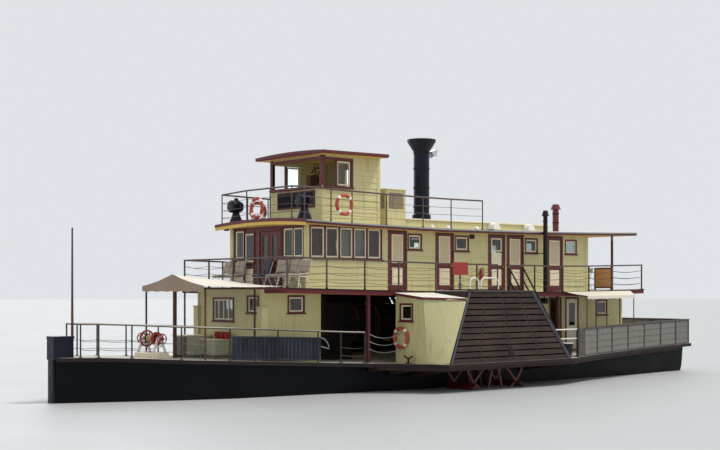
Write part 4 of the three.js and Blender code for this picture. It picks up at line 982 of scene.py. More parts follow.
# %% Cream frames, panels, glass and knobs of the doors
def door_dress(u0, u1, low, high, hinge_first, proud=0.008):
    """Glazing frame and panel, pane, and knob of one leaf in wall space, out from the wall's face."""
    light = np.array([(u0, u1, low, high)])
    glazing = surrounds(shrunk(light, 0.045), 0.048, -0.04, proud)
    panel = boxes([(u0 + 0.02, u1 - 0.02, -0.002, proud, wl(3.44), wl(4.02)),
                   (u0 + 0.07, u1 - 0.07, proud, proud + 0.007, wl(3.5), wl(3.96))])
    knob_u = u1 + 0.055 if hinge_first else u0 - 0.055
    knob = lathe([(0.024, 0.0), (0.01, 0.006), (0.01, 0.02), (0.024, 0.032), (0.026, 0.045), (0.012, 0.058)],
                 (knob_u, 0.0, wl(4.1)), "y", 12)
    return merged(glazing, panel), panes(shrunk(light, 0.03), -0.02), knob


def dress_leaf(body, wood, pane, finish, knob=None):
    """The pieces of one leaf, all riding on the leaf's own body."""
    piece(f"{body}_panel", wood, finish, body, bevel=0.003)
    piece(f"{body}_glass", pane, GLASS, body)
    if knob is not None:
        piece(f"{body}_knob", knob, BRASS, body)


SIDES, BOARDED, HINGED_AFT = (("starboard", lambda shape: shape), ("port", port)), 3, 4
BLIND = painted("pale_blind", "C9BD9C", "BBAE8C", 0.8, runs=0.1, patches=0.2)
for number, (a, b) in enumerate(SIDE_DOORS, 1):
    boarded = number == BOARDED
    parts = door_dress(at(a + 0.11), at(b - 0.11), wl(4.66 if boarded else 4.18), wl(5.13),
                       number != HINGED_AFT)
    wood, pane, knob = (shifted(part, CABIN_HALF) for part in parts)
    infill = blocks((a + 0.12, b - 0.12, CABIN_HALF - 0.03, CABIN_HALF + 0.006, 4.16, 4.62))
    shade = blocks((a + 0.15, b - 0.15, CABIN_HALF - 0.016, CABIN_HALF - 0.01, 4.2, 5.1))
    cover, cover_finish = (infill, SASH) if boarded else (shade, BLIND)
    for side, turn in SIDES:
        body = f"cabin_door_{number}_{side}"
        dress_leaf(body, turn(wood), turn(pane), SASH, turn(knob))
        piece(f"{body}_blind", turn(cover), cover_finish, body)

for side, y0, y1, hinge_first in (("port", -0.71, -0.18, True), ("starboard", -0.16, 0.375, False)):
    parts = door_dress(y0 + 0.085, y1 - 0.085, wl(4.2), wl(5.08), hinge_first)
    wood, pane, knob = (ahead(part, FRONT) for part in parts)
    dress_leaf(f"saloon_door_{side}", wood, pane, MAROON, knob)

low_light = in_frame([(20.11, 20.53, 1.9, 2.828)])
low_wood = merged(surrounds(shrunk(low_light, 0.04), 0.042, -0.04, 0.006),
                  blocks((20.13, 20.51, 0.0, 0.006, 1.16, 1.76)))
low_pane = panes(shrunk(low_light, 0.03), -0.02)
for side, turn in SIDES:
    dress_leaf(f"aft_door_{side}", turn(shifted(low_wood, LOWER_HALF)), turn(shifted(low_pane, LOWER_HALF)),
               WHITE)
print("doors dressed:", 2 * len(SIDE_DOORS) + 4)

# %% [markdown]
# ## Rails, stanchions and wires
# The upper decks have square iron rails, which are solids already. What they lack is the three thin
# wires between the stanchions, each sagging a few centimetres. The roof's rail is round pipe with
# a flange at each foot, so it is made anew along the same line.

# %% Wires and pipe rails
def hanging(posts, lift, sag, steps=6):
    """A line through the posts at a height above their feet: between two posts it is straight less
    4 * sag * t * (1 - t)."""
    posts = np.asarray(posts, float) + (0, 0, lift)
    t = np.arange(steps)[None, :, None] / steps
    line = posts[:-1, None] * (1 - t) + posts[1:, None] * t
    line[..., 2] -= 4 * sag * (t * (1 - t))[..., 0]
    return np.vstack([line.reshape(-1, 3), posts[-1:]])


def line_of(stations, out, floor, across, lift=0.0, first=True):
    """Posts down one side, round the end and up the other side, as places in the frame."""
    stations = np.array(stations)
    side = np.stack([at(stations), stations * 0 + out, floor(stations)], 1)
    x, _, z = side[0 if first else -1]
    end = np.array([(x, y, z + lift) for y in across]).reshape(-1, 3)
    other = side * MIRROR
    return np.vstack([other[::-1], end, side]) if first else np.vstack([other, end, side[::-1]])


def feet(posts, size=0.055, thick=0.014):
    """A square flange with a collar at the foot of each post."""
    low, high = posts - (size, size, 0.002), posts + (size, size, thick)
    return merged(boxes(np.stack([low, high], 2)), rods(posts, posts + (0, 0, 0.05), 0.036, 8))


def strung(posts, lifts, sag):
    """Wires through the posts, one at each height above their feet."""
    return [tube(hanging(posts, lift, sag), WIRE, 5) for lift in lifts]


UPPER_OUT, ROOF_OUT, BOW_INSET, ENDS = 2.89, 2.3, 0.11, (-1.4, 0.0, 1.4)
WIRE, LIFTS, BOW_PIPE_UP, ROOF_PIPE_UP = 0.008, (0.24, 0.49, 0.74), 0.975, 1.03
BOW_STATIONS = (0.65, 1.11, 1.98, 3.31, 4.74, 6.33, 7.72, 8.51, 9.19)
fore_posts = line_of((6.26, 7.8, 9.35, 10.8, 12.47, 13.6, 14.41, 15.44), UPPER_OUT, upper_top, ENDS)
aft_posts = line_of((16.1, 17.36, 18.89, 20.36, 21.71, 23.54), UPPER_OUT, upper_top, ENDS, first=False)
roof_posts = line_of((7.38, 8.44, 9.31, 10.79, 12.43, 13.75, 15.29), ROOF_OUT, roof_edge,
                     (-1.64, -0.48, 0.84), 0.06)
bow_posts = line_of(BOW_STATIONS, deck_edge(BOW_STATIONS) - BOW_INSET, main_top, ())

wires = [tube(hanging(posts, lift, 0.05 + 0.01 * i), WIRE, 5)
         for posts in (fore_posts, aft_posts) for i, lift in enumerate(LIFTS)]
piece("upper_rail_wires", merged(*wires), BAR_DARK)
halves = (bow_posts[:len(BOW_STATIONS)], bow_posts[len(BOW_STATIONS):])
spans = [half[keep] for half in halves for keep in (half[:, 0] < at(4.9), half[:, 0] > at(8.4))]
bow_wires = [wire for posts in spans for wire in strung(posts, LIFTS[:2], 0.03)]
# The bow rail pipes carry a painted highlight on their tops.
bow_pipes = merged(tube(bow_posts + (0, 0, BOW_PIPE_UP), 0.027, 8),
                   rods(bow_posts, bow_posts + (0, 0, 0.97), 0.024, 8), feet(bow_posts))
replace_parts(piece("bow_rail_pipes", bow_pipes, BOW_PIPE), "bow_rail")
guards = [hanging([spot(9.55, 2.87, h), spot(10.59, 3.22, h + 0.02)], 0.0, 0.15, 14)
          for h in (1.86, 1.63, 1.39)]
piece("bow_rail_wires", merged(*bow_wires), BAR_DARK)
piece("guard_wires", pair(merged(*[tube(line, 0.012, 6) for line in guards])), STEEL)
roof_pipes = merged(tube(roof_posts + (0, 0, ROOF_PIPE_UP), 0.028, 8),
                    rods(roof_posts, roof_posts + (0, 0, 1.02), 0.021, 8), feet(roof_posts),
                    *strung(roof_posts, LIFTS, 0.01))
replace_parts(piece("roof_rail_pipes", roof_pipes, RAIL), "roof_rail")
piece("rail_flanges", merged(feet(fore_posts), feet(aft_posts)), IRON)
print(len(roof_posts) + len(fore_posts) + len(aft_posts) + len(bow_posts), "stanchions")

# %% [markdown]
# ## Lifebuoys
# A lifebuoy is a canvas-covered ring with four white bands. The ring is a circle carried round a
# circle, and each band is a short arc of a slightly fatter tube.

# %% Lifebuoys
BUOY_RADIUS, BUOY_THICK = 0.305, 0.058


def buoy(centre, axis):
    """Ring and bands: the section's points lie at radius + thick * cos, and thick * sin along."""
    cos, sin = circle(12)
    section = np.stack([BUOY_RADIUS + BUOY_THICK * cos, BUOY_THICK * sin], 1)
    ring = lathe(section, centre, axis, 32, True)
    bands = [tube(arc(centre, BUOY_RADIUS, middle - 9, middle + 9, axis, 5), BUOY_THICK + 0.004, 12)
             for middle in (45, 135, 225, 315)]
    return ring, merged(*bands)


rail_buoy = np.array((at(8.93), 2.37, roof_edge(8.93) + 0.57))
guard_buoy = spot(10.52, 3.3, 1.74)
BUOYS = [(rail_buoy * MIRROR, "y"), (rail_buoy, "y"), ((at(7.31), 0.17, roof_edge(7.38) + 0.48), "x"),
         (guard_buoy * MIRROR, "x"), (guard_buoy, "x")]
rings, bands = zip(*[buoy(centre, axis) for centre, axis in BUOYS])
piece("lifebuoy_rings", merged(*rings), ORANGE)
piece("lifebuoy_bands", merged(*bands), WHITE)
hook = rods(guard_buoy + (0, 0, 0.25), guard_buoy + (0, 0, 0.36), 0.02, 6)
piece("lifebuoy_hooks", pair(hook), IRON)
print(len(BUOYS), "lifebuoys")

# %% [markdown]
# ## Searchlights
# Two navy searchlights stand on flared pedestals at the roof's front corners. Body, bezel and
# pedestal are turned work about two axes, with a yoke between them and a lens that bulges.

# %% Searchlights
LAMP_STATION, LAMP_OUT, LAMP_UP = 7.68, 1.9, 0.6
lamps, lenses = [], []
for side in (-1, 1):
    base = np.array((at(LAMP_STATION), side * LAMP_OUT, roof_edge(LAMP_STATION) + 0.03))
    eye = base + (0, 0, LAMP_UP)
    skirt = lathe([(0.25, 0.0), (0.24, 0.04), (0.2, 0.16), (0.15, 0.28), (0.11, 0.4)], base, "z", 20)
    drum = lathe([(0.19, -0.24), (0.215, -0.2), (0.21, -0.14), (0.205, 0.1), (0.17, 0.2), (0.08, 0.25)], eye,
                 "x", 24)
    fins = merged(*[band(0.2, 0.222, fin, fin + 0.012, eye, "x") for fin in (-0.1, -0.05, 0.0, 0.05)])
    yoke = tube(arc(eye, 0.25, 90, 270, "x", 15), 0.018, 6)
    pins = rods([eye - (0, 0.25, 0), eye + (0, 0.2, 0)], [eye - (0, 0.2, 0), eye + (0, 0.25, 0)], 0.03, 8)
    neck = rods(base + (0, 0, 0.34), base + (0, 0, 0.4), 0.09, 12)
    chimney = lathe([(0.05, 0.17), (0.05, 0.24), (0.075, 0.25), (0.075, 0.28), (0.03, 0.3)], eye, "z", 12)
    lamps.append(merged(skirt, drum, fins, yoke, pins, neck, chimney))
    lenses.append(lathe([(0.18, -0.235), (0.17, -0.25), (0.1, -0.268), (0.03, -0.273)], eye, "x", 24))
piece("searchlights", merged(*lamps), NAVY)
piece("searchlight_lenses", merged(*lenses), LENS)
print("searchlights at station", LAMP_STATION)

# %% [markdown]
# ## Roof edges
# Grey gutters run along both eaves of the cabin roof over a thin maroon fascia. The front edges of
# both roofs carry a maroon cap, and below the cap the cabin roof's beam is yellow like its underside,
# with the yellow brightened as painted reflected light from the water.

# %% Gutters, caps and front beam
def edge_line(table, out, lift):
    """A line along the side at the stations and heights of a table."""
    return np.stack([at(table[:, 0]), np.full(len(table), out), wl(table[:, 1]) + lift], 1)


def crowned(station, edge, rise, half, reach, count):
    """A line across a roof's front: height = edge + rise * (1 - (out / half) squared)."""
    y = np.linspace(-reach, reach, count)
    return np.stack([y * 0 + at(station), y, edge + rise * (1 - (y / half) ** 2) + 0.012], 1)


HOUSE_EAVE = 1.855
eave_line = edge_line(ROOF, 2.53, -0.015)
piece("roof_fascias", pair(strip(eave_line - (0, 0.012, 0.041), 0.04, 0.065)), MAROON,
      bevel=0.003)
piece("roof_gutters", pair(strip(eave_line, 0.07, 0.04)), STEEL, bevel=0.004)
beam = crowned(7.25, roof_edge(7.27), 0.1, 2.5, 2.52, 15)
house_beam = crowned(8.475, wl(7.77), 0.06, HOUSE_EAVE, HOUSE_EAVE, 11)
house_eave = [spot(8.465, HOUSE_EAVE, 7.782), spot(11.28, HOUSE_EAVE, 7.812)]
front_caps = merged(strip(beam, 0.05, 0.1), strip(house_beam, 0.05, 0.1), pair(strip(house_eave, 0.05, 0.09)))
piece("roof_front_caps", front_caps, MAROON, bevel=0.004)
# The beam's bright yellow is painted reflected light on yellow paint.
piece("roof_front_beam", strip(beam + (0.012, 0, -0.1), 0.03, 0.11), SOFFIT_YELLOW_LIT, bevel=0.003)
piece("upper_deck_edge", pair(strip(edge_line(UPPER_DECK, 2.965, 0.012), 0.05, 0.03)), IRON,
      bevel=0.003)
print("gutters", round(eave_line[-1, 0] - eave_line[0, 0], 2), "m long")

# %% [markdown]
# ## Wheelhouse
# The wheelhouse is open at the front. Maroon posts stand at its corners, a ledge runs under the
# opening, and a blank board hangs below it. Inside is the ship's wheel, turned in dark wood, which
# rides on its own body and spins about its hub.

# %% Wheelhouse trim and board
def spun(shape, turn, centre):
    """Turns a form about the fore-and-aft axis and carries it to a centre."""
    x, y, z = shape[0].T
    cos, sin = math.cos(turn), math.sin(turn)
    return np.stack([x, y * cos - z * sin, y * sin + z * cos], 1) + centre, shape[1], shape[2]


LEDGE, LINTEL, COVER_PROUD = *HOUSE_OPENING[2:], 0.034
front_open = wall_rows((-1.29, 1.29, LEDGE, LINTEL))
side_open = in_frame(HOUSE_OPENING)
sash_post = blocks((9.36, 9.42, -0.05, 0.02, LEDGE, LINTEL))
cover_fore, cover_in = HOUSE_FRONT - COVER_PROUD, HOUSE_HALF - 0.01
post_cover = blocks((cover_fore, HOUSE_OPENING[0], cover_in, HOUSE_HALF + COVER_PROUD, LEDGE, HOUSE_HEAD),
                    (cover_fore, HOUSE_FRONT, HOUSE_HALF - CORNER, cover_in, LEDGE, HOUSE_HEAD))
front_trim = merged(surrounds(front_open, 0.1, -0.06, 0.03), sills(front_open, 0.12, 0.05, 0.1))
side_trim = merged(surrounds(side_open, 0.09, -0.03, 0.03), sills(side_open, 0.1, 0.05, 0.08), sash_post)
piece("wheelhouse_trim", merged(pair(merged(post_cover, shifted(side_trim, HOUSE_HALF))),
                                ahead(front_trim, HOUSE_FRONT)), MAROON, bevel=0.004)
plaque = wall_rows((-0.99, 0.95, 6.03, 6.5))
plaque_frame, plaque_board = surrounds(plaque, 0.05, 0.0, 0.055), panes(plaque, 0.0, 0.035)
piece("wheelhouse_board_frame", ahead(plaque_frame, HOUSE_FRONT), MAROON, bevel=0.004)
piece("wheelhouse_board", ahead(plaque_board, HOUSE_FRONT), BLACK, bevel=0.004)

HUB, SPOKES = spot(9.7, 0.0, 7.01), 8
SPOKE_TURNING = [(0.02, 0.07), (0.016, 0.12), (0.022, 0.2), (0.028, 0.26), (0.018, 0.31), (0.02, 0.36),
                 (0.02, 0.42), (0.013, 0.43), (0.02, 0.455), (0.012, 0.487)]
RIM_TURNING = [(0.37, -0.022), (0.38, -0.028), (0.41, -0.028), (0.418, -0.02), (0.418, 0.02), (0.41, 0.028),
               (0.38, 0.028), (0.37, 0.022)]
HUB_TURNING = [(0.03, -0.075), (0.075, -0.06), (0.085, -0.02), (0.085, 0.02), (0.075, 0.06), (0.03, 0.075)]
spoke = lathe(SPOKE_TURNING, (0, 0, 0), "y", 8)
spokes = [spun(spoke, (k + 0.5) * 2 * math.pi / SPOKES, HUB) for k in range(SPOKES)]
rim, hub = lathe(RIM_TURNING, HUB, "x", 32, True), lathe(HUB_TURNING, HUB, "x", 20)
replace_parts(piece("helm_wheel", merged(rim, hub, *spokes), TIMBER, "helm"), "helm")
boss = lathe([(0.05, 0.073), (0.05, 0.085), (0.02, 0.095)], HUB, "x", 16)
piece("helm_boss", pair(boss), BRASS, "helm")
compass = lathe([(0.1, 0.0), (0.1, 0.03), (0.02, 0.04)], spot(9.47, 0, 7.14), "z", 20)
piece("compass", compass, BRASS)
print("wheel of", len(spokes), "spokes")

# %% [markdown]
# ## Hood, skylight and funnel
# The hood over the stair has upright brown slats in its openings. Along the roof stand white
# half-round covers and small dome lamps. The funnel has riveted bands, a rolled rim, a flood lamp
# on a bracket and a thin bright pipe behind it.

# %% Hood slats and roof fittings
slats = 12.125 + np.arange(8) * 0.088
side_slats = blocks(*[(s, s + 0.058, 0.862, 0.894, 6.08, 6.64) for s in slats])
end_y = [-0.8 + i * 0.42 + 0.012 + j * 0.083 for i in range(4) for j in range(4)]
end_slats = blocks(*[(s, s + 0.03, y, y + 0.058, 6.08, 6.64) for y in end_y for s in (12.03, 12.86)])
piece("hood_slats", merged(pair(side_slats), end_slats), LOUVRE, bevel=0.003)
hood_cap = blocks((11.97, 12.95, -0.94, 0.94, 6.752, 6.785))
coaming = strip([spot(12.92, 0.775, 5.795), spot(20.52, 0.775, 5.795)], 0.06, 0.045)
piece("skylight_caps", merged(hood_cap, pair(coaming)), SASH, bevel=0.006)


def half_round(x0, x1, y0, y1, foot, lift):
    """A cover bent over from foot to crest: up as sine and along as cosine of half a turn."""
    turn = np.linspace(0, math.pi, 13)
    x = (x0 + x1) / 2 - (x1 - x0) / 2 * np.cos(turn)
    z = foot + lift * np.sin(turn)
    return skin(np.stack([np.stack([x, np.full(13, y), z], 1) for y in (y0, y1)]))


covers = [half_round(at(s), at(s + 0.36), 0.77, 1.1, wl(5.53), 0.24) for s in (17.1, 19.0)]
DOME = [(0.085, 0), (0.085, 0.03), (0.07, 0.07), (0.045, 0.1), (0.02, 0.11)]
domes = [lathe(DOME, (at(s), 2.4, roof_edge(s) + 0.005), "z", 14) for s in (12.75, 13.5, 14.9)]
piece("roof_covers", pair(merged(*covers, *domes)), WHITE, bevel=0.004)

# %% Funnel bands, lamp and pipe
FUNNEL, BAND_HEIGHTS, CLIP_HEIGHTS = 14.49, (6.25, 6.95, 7.65, 8.2), (6.5, 7.3, 7.95)
foot = (at(FUNNEL), 0, DRAFT)
funnel_bands = [band(0.28, 0.296, h, h + 0.06, foot, sides=32) for h in BAND_HEIGHTS]
cos, sin = circle(24)
spread = np.stack([cos, sin, cos * 0], 1)
middles = [spot(FUNNEL, 0, h + 0.03) for h in BAND_HEIGHTS]
rivets = [rods(middle + 0.29 * spread, middle + 0.304 * spread, 0.011, 6) for middle in middles]
cos, sin = circle(8)
roll = lathe(np.stack([0.5 + 0.022 * cos, 8.705 + 0.022 * sin], 1), foot, "z", 36, True)
piece("funnel_bands", merged(*funnel_bands, *rivets, roll), IRON)
arm = tube([spot(FUNNEL + x, 0, h) for x, h in ((0.28, 8.1), (0.45, 8.08), (0.5, 8.12))], 0.02, 6)
lamp_box = skin([[spot(FUNNEL + x, y, h) for x, h in ((0.36, 8.3), (0.66, 8.42), (0.6, 8.16), (0.44, 8.12))]
                 for y in (-0.17, 0.17)])
pipe = tube([spot(FUNNEL + x, y, h) for x, y, h in ((0.36, 0.1, 5.95), (0.36, 0.1, 7.2), (0.36, 0.1, 8.06),
                                                    (0.42, 0.08, 8.16))], 0.022, 8)
clips = rods([spot(FUNNEL + 0.27, 0.08, h) for h in CLIP_HEIGHTS],
             [spot(FUNNEL + 0.37, 0.1, h) for h in CLIP_HEIGHTS], 0.012, 6)
piece("funnel_lamp", merged(arm, lamp_box, pipe, clips), CHROME, bevel=0.006)
collars = [band(0.078, 0.095, h, h + 0.045, (at(18.2), -2.65, DRAFT), sides=16) for h in (3.5, 4.6, 5.75)]
flue = [band(0.12, 0.14, h, h + 0.04, (at(21.8), 0, DRAFT), sides=16) for h in (5.95, 6.3)]
stay = rods(spot(18.2, -2.58, 4.62), spot(18.2, -2.09, 4.62), 0.015, 6)
piece("pipe_collars", merged(*collars, *flue, stay), IRON)
print("funnel bands", len(funnel_bands), "and", len(spread) * len(rivets), "rivets")

# %% [markdown]
# ## Paddle boxes and the houses ahead of them
# The raked ends of each paddle box are bound with grey-blue boards, and the shaft's outer bearing
# is bolted to its face. On top lie a black mat and two white hooped grab rails. The house ahead
# has a white roof with a maroon edge, and a horned iron cleat stands before it.

# %% Paddle box trim and fittings
BLUE_GREY = painted("blue_grey_paint", "3F434E", "54575F", 0.5, runs=0.5, patches=0.5, shine=0.3)
RAKE_FOOT, RAKE_HEAD = (5.085, 0.93), (4.613, 3.235)
rakes = [bars(spot(foot, *RAKE_FOOT), spot(head, *RAKE_HEAD), 0.016, 0.11)
         for foot, head in ((11.07, 12.37), (16.73, 15.33))]
piece("paddle_box_bindings", pair(merged(*rakes)), BLUE_GREY, bevel=0.003)
axle = spot(13.87, 0, 1.22)
bearing = lathe([(0.17, 4.955), (0.17, 4.985), (0.12, 5.0), (0.12, 5.03), (0.05, 5.045)], axle, "y", 20)
bolt_turn = np.radians(np.arange(30, 390, 60))
bolts = axle + np.stack([0.145 * np.cos(bolt_turn), np.full(6, 4.98), 0.145 * np.sin(bolt_turn)], 1)
piece("shaft_bearings", pair(merged(bearing, rods(bolts, bolts + (0, 0.03, 0), 0.014, 6))), IRON)
SLATS, BOX_FOOT, BOX_RISE, BOX_OUT, BOX_LEAN, BOX_TOP = 12, 0.925, 2.315, 5.06, 0.47, 3.25
slat_heads = []
for share in (np.arange(SLATS) + 0.39) / SLATS:
    height, reach = wl(BOX_FOOT + share * BOX_RISE), BOX_OUT - BOX_LEAN * share + 0.001
    bolt_stations = (12.4 + 0.68 * share, 13.9, 15.35 - 0.73 * share)
    slat_heads += [(at(s) + d, reach, height + e) for s in bolt_stations for d in (-0.02, 0.02)
                   for e in (-0.03, 0.03)]
slat_heads = np.array(slat_heads)
slat_bolts = rods(slat_heads - (0, 0.01, 0), slat_heads + (0, 0.006, 0), 0.012, 6)
piece("slat_bolts", pair(slat_bolts), IRON)
piece("paddle_box_mats", pair(blocks((12.5, 13.95, 3.5, 4.52, 3.24, 3.3))), BLACK, bevel=0.01)
rim_top = strip([spot(12.28, 4.6, 3.262), spot(15.42, 4.6, 3.262)], 0.05, 0.06)
top_skin = blocks((12.3, 15.42, 2.975, 4.59, 3.236, 3.252))
piece("paddle_box_rims", pair(rim_top), BAR_DARK, bevel=0.004)
piece("paddle_box_tops", pair(top_skin), WHITE, bevel=0.003)


def hoop(fore, aft, out, foot, lift):
    """A grab rail between two stations: up, over a rounded top and down again."""
    x0, x1 = at(fore), at(aft)
    bend = min(0.18, (x1 - x0) / 2 - 0.01)
    turn = np.linspace(0, math.pi / 2, 5)
    inset, rise = bend - bend * np.cos(turn), wl(foot) + lift - bend + bend * np.sin(turn)
    x = [x0, *(x0 + inset), *(x1 - inset[::-1]), x1]
    z = [wl(foot), *rise, *rise[::-1], wl(foot)]
    return tube(np.stack([x, np.full(len(x), out), z], 1), 0.022, 8)


hoops = [hoop(fore, aft, 4.35, BOX_TOP, 0.42) for fore, aft in ((12.62, 13.02), (13.12, 13.95))]
piece("grab_hoops", pair(merged(*hoops)), WHITE)
CLEAT = 10.38
cleat_foot = np.array((at(CLEAT), 3.82, main_top(CLEAT)))
horn_line = [(0, -0.19, 0.25), (0, -0.12, 0.2), (0, 0, 0.17), (0, 0.12, 0.2), (0, 0.19, 0.25)]
horn = tube(cleat_foot + np.array(horn_line), 0.028, 8)
flange = boxes(np.stack([cleat_foot - (0.06, 0.1, 0.005), cleat_foot + (0.06, 0.1, 0.03)], 1))
stem = rods(cleat_foot, cleat_foot + (0, 0, 0.17), 0.035, 8)
piece("guard_cleats", pair(merged(horn, flange, stem)), IRON, bevel=0.004)
EAVE_FORE, EAVE_AFT, WALL_OUT = 10.53, 12.12, 2.972


def flared(station, out=None):
    """A place on the roof of the house ahead of the box, at its eaves unless a distance out is given.
    The eaves flare out by 0.256 of the way aft, and the roof falls by 0.1025 of the way out."""
    y = 4.3 + 0.256 * (station - EAVE_FORE) if out is None else out
    return spot(station, y, 3.12 - 0.1025 * (y - WALL_OUT))


roof_ends = [(flared(s, 2.974), flared(e)) for s, e in ((EAVE_FORE, EAVE_FORE), (12.23, EAVE_AFT))]
roof_rings = [[inner + (0, 0, 0.053), outer + (0, 0, 0.053), outer + (0, 0, 0.068), inner + (0, 0, 0.068)]
              for inner, outer in roof_ends]
piece("sponson_roofs", pair(skin(roof_rings)), WHITE, bevel=0.004)
edges = [bars(start + (0, 0, 0.022), flared(end) + (0, 0, 0.022), 0.02, 0.075)
         for start, end in ((flared(EAVE_FORE), EAVE_AFT), (flared(EAVE_FORE, 2.98), EAVE_FORE))]
piece("sponson_roof_edges", pair(merged(*edges)), MAROON, bevel=0.003)
print("paddle boxes trimmed;", len(slat_heads), "bolts a side")

# %% [markdown]
# ## Cloth, cushions and things set at an angle
# Cloth is a grid of points given half its thickness along the surface's own direction, which is the
# cross product of the grid's two slopes. A cushion is two grids that meet at a narrow rim. Anything
# that stands at an angle is built facing aft and then turned in plan about its foot.

# %% Thin shells, cushions and placed forms
def shares(rows, cols, left=0.0):
    """Two grids: 0 to 1 down the rows, and from a left value to 1 across the columns."""
    return np.meshgrid(np.linspace(0, 1, rows), np.linspace(left, 1, cols), indexing="ij")


def slab(top, bottom):
    """A closed form between two grids of points: both faces and the rim that joins them."""
    rows, cols = top.shape[:2]
    count = rows * cols
    faces = grid_quads(rows, cols)
    index = np.arange(count).reshape(rows, cols)
    rim = np.concatenate([index[0], index[1:, -1], index[-1, -2::-1], index[-2:0:-1, 0]])
    after = np.roll(rim, -1)
    walls = np.stack([rim + count, after + count, after, rim], 1)
    points = np.concatenate([top.reshape(-1, 3), bottom.reshape(-1, 3)])
    return outward(form(points, np.concatenate([faces, faces[:, ::-1] + count, walls])))


def hang(name, grid, finish, thick=0.006):
    """A cloth of a grid of points, given its thickness along the surface's own direction."""
    normal = unit(np.cross(np.gradient(grid, axis=0), np.gradient(grid, axis=1))) * thick / 2
    obj = piece(name, slab(grid + normal, grid - normal), finish, smooth=60.0)
    return obj


def cushion(width, depth, thick, lobed=0.0, count=15):
    """A stuffed pad: its sides draw in between the corners by 1 - v squared, and its crown falls off
    with the fourth power towards the rim. A lobed pad has a dip along its middle."""
    u, v = np.meshgrid(np.linspace(-1, 1, count), np.linspace(-1, 1, count), indexing="ij")
    draw = 0.05
    dip = 1 - lobed * np.exp(-(v / 0.14) ** 2)
    x = width / 2 * u * (1 - draw * (1 - v ** 2)) * (0.9 + 0.1 * dip)
    y = depth / 2 * v * (1 - draw * (1 - u ** 2))
    crown = thick / 2 * (0.3 + 0.7 * np.sqrt((1 - u ** 4) * (1 - v ** 4)) * dip)
    return slab(np.stack([x, y, crown], -1), np.stack([x, y, -crown], -1))


def tipped(shape, degrees):
    """Turns a form about the cross-ship axis, so that its aft end rises."""
    c, s = math.cos(math.radians(degrees)), math.sin(math.radians(degrees))
    return shape[0] @ np.array([(c, 0, s), (0, 1, 0), (-s, 0, c)]), shape[1], shape[2]


def placed(shape, foot, heading=0.0):
    """Turns a form in plan by a heading in degrees and stands it on a foot."""
    c, s = math.cos(math.radians(heading)), math.sin(math.radians(heading))
    points = shape[0] @ np.array([(c, s, 0), (-s, c, 0), (0, 0, 1)]) + np.asarray(foot, float)
    return points, shape[1], shape[2]


def beside(path, out):
    """A path moved to its left in plan, by the mitre at each bend."""
    return path + mitre(path) * out


print("a cushion has", len(cushion(0.5, 0.5, 0.1)[1]), "faces")

# %% [markdown]
# ## Bulwark round the after guard
# Between dark posts run four lapped boards, each proud at its foot and tucked at its head, carried
# round the stern along the post line with mitred corners. A dark cap and a dark toe board close it.

# %% Bulwark boards, posts, cap and toe board
RIM, RIM_INSET = np.array([17.45, 17.95, 19.14, 20.37, 21.72, 23.1, 24.39, 25.62, 26.69]), 0.09
rim_side = np.stack([at(RIM), deck_edge(RIM) - RIM_INSET, main_top(RIM)], 1)
across = np.array([(rim_side[-1, 0], y, rim_side[-1, 2]) for y in (1.0, -1.0)])
rim_line = np.concatenate([rim_side, across, rim_side[::-1] * MIRROR])


def lap(path, low, high, foot, head, back=0.012):
    """One board along a path: in section its back is plumb and its face leans from foot to head."""
    return skin(np.stack([beside(path, out) + (0, 0, up) for out, up in
                          ((back, low), (foot, low), (head, high), (back, high))], 1))


STRAKES, PITCH, OVERLAP, TOE_TOP, POST_TOP, CAP_TOP = 4, 0.23, 0.015, 0.05, 0.945, 0.994
feet_of_strakes = 0.02 + np.arange(STRAKES) * PITCH
strakes = [lap(rim_line, low, low + PITCH + OVERLAP, 0.036, 0.022) for low in feet_of_strakes]
piece("bulwark_boards", merged(*strakes), BULWARK)
stands = bars(rim_line - (0, 0, 0.01), rim_line + (0, 0, POST_TOP), 0.088)
toe = lap(rim_line, -0.03, TOE_TOP, 0.05, 0.05)
cap = strip(rim_line + (0, 0, CAP_TOP), 0.104, 0.056)
piece("bulwark_posts", merged(stands, toe, cap), BAR_DARK, bevel=0.004)
ends = [lap(line, TOE_TOP, POST_TOP, 0.047, 0.047, 0.037) for line in (rim_line[:2], rim_line[-2:])]
piece("bulwark_end_panels", merged(*ends), BAR_DARK, bevel=0.003)
print("bulwark boards", len(strakes), "round", len(rim_line), "posts")

# %% [markdown]
# ## Awnings
# The fore awning is a white sheet over a ridge with a gable hanging at its front, in a darker tan
# cloth that is painted shade on the same canvas. A sheet between supports sags by a sine of the way
# across. Along each side aft a narrow awning runs out to five poles, and its outer edge turns down
# into a scalloped valance.

# %% Fore awning
# The gable's darker tan is painted shade on the awning's canvas.
GABLE_SHADE_CANVAS = cloth("gable_canvas_painted_shade", "9C8772", "85715D")
AWNING_FORE, AWNING_LONG, GABLE_HALF, SPREAD = 3.995, 2.12, 1.8, 1.1
EAVE_UP, EAVE_FALL, RIDGE_UP, RIDGE_FALL, SAG, RIPPLE = 3.395, 0.015, 3.757, 0.19, 0.035, 0.006
u, v = shares(15, 41, -1.0)
slope = 1 - np.abs(v)
eaves, ridge = EAVE_UP - EAVE_FALL * u, RIDGE_UP - RIDGE_FALL * u
sag = 0.03 * np.sin(math.pi * u) + SAG * np.sin(math.pi * np.abs(v)) + RIPPLE * np.sin(17 * v + 5 * u) * slope
sheet_up = wl(eaves + (ridge - eaves) * slope - sag)
roof_grid = np.stack([at(AWNING_FORE + AWNING_LONG * u), (GABLE_HALF + SPREAD * u) * v, sheet_up], -1)
awning = hang("fore_awning_canvas", roof_grid, CANVAS)
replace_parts(awning, "fore_awning")
w, v = shares(9, 41, -1.0)
head = 3.39 + 0.36 * (1 - np.abs(v)) - SAG * np.sin(math.pi * np.abs(v))
foot = 3.225 + 0.01 * np.cos(6 * math.pi * v)
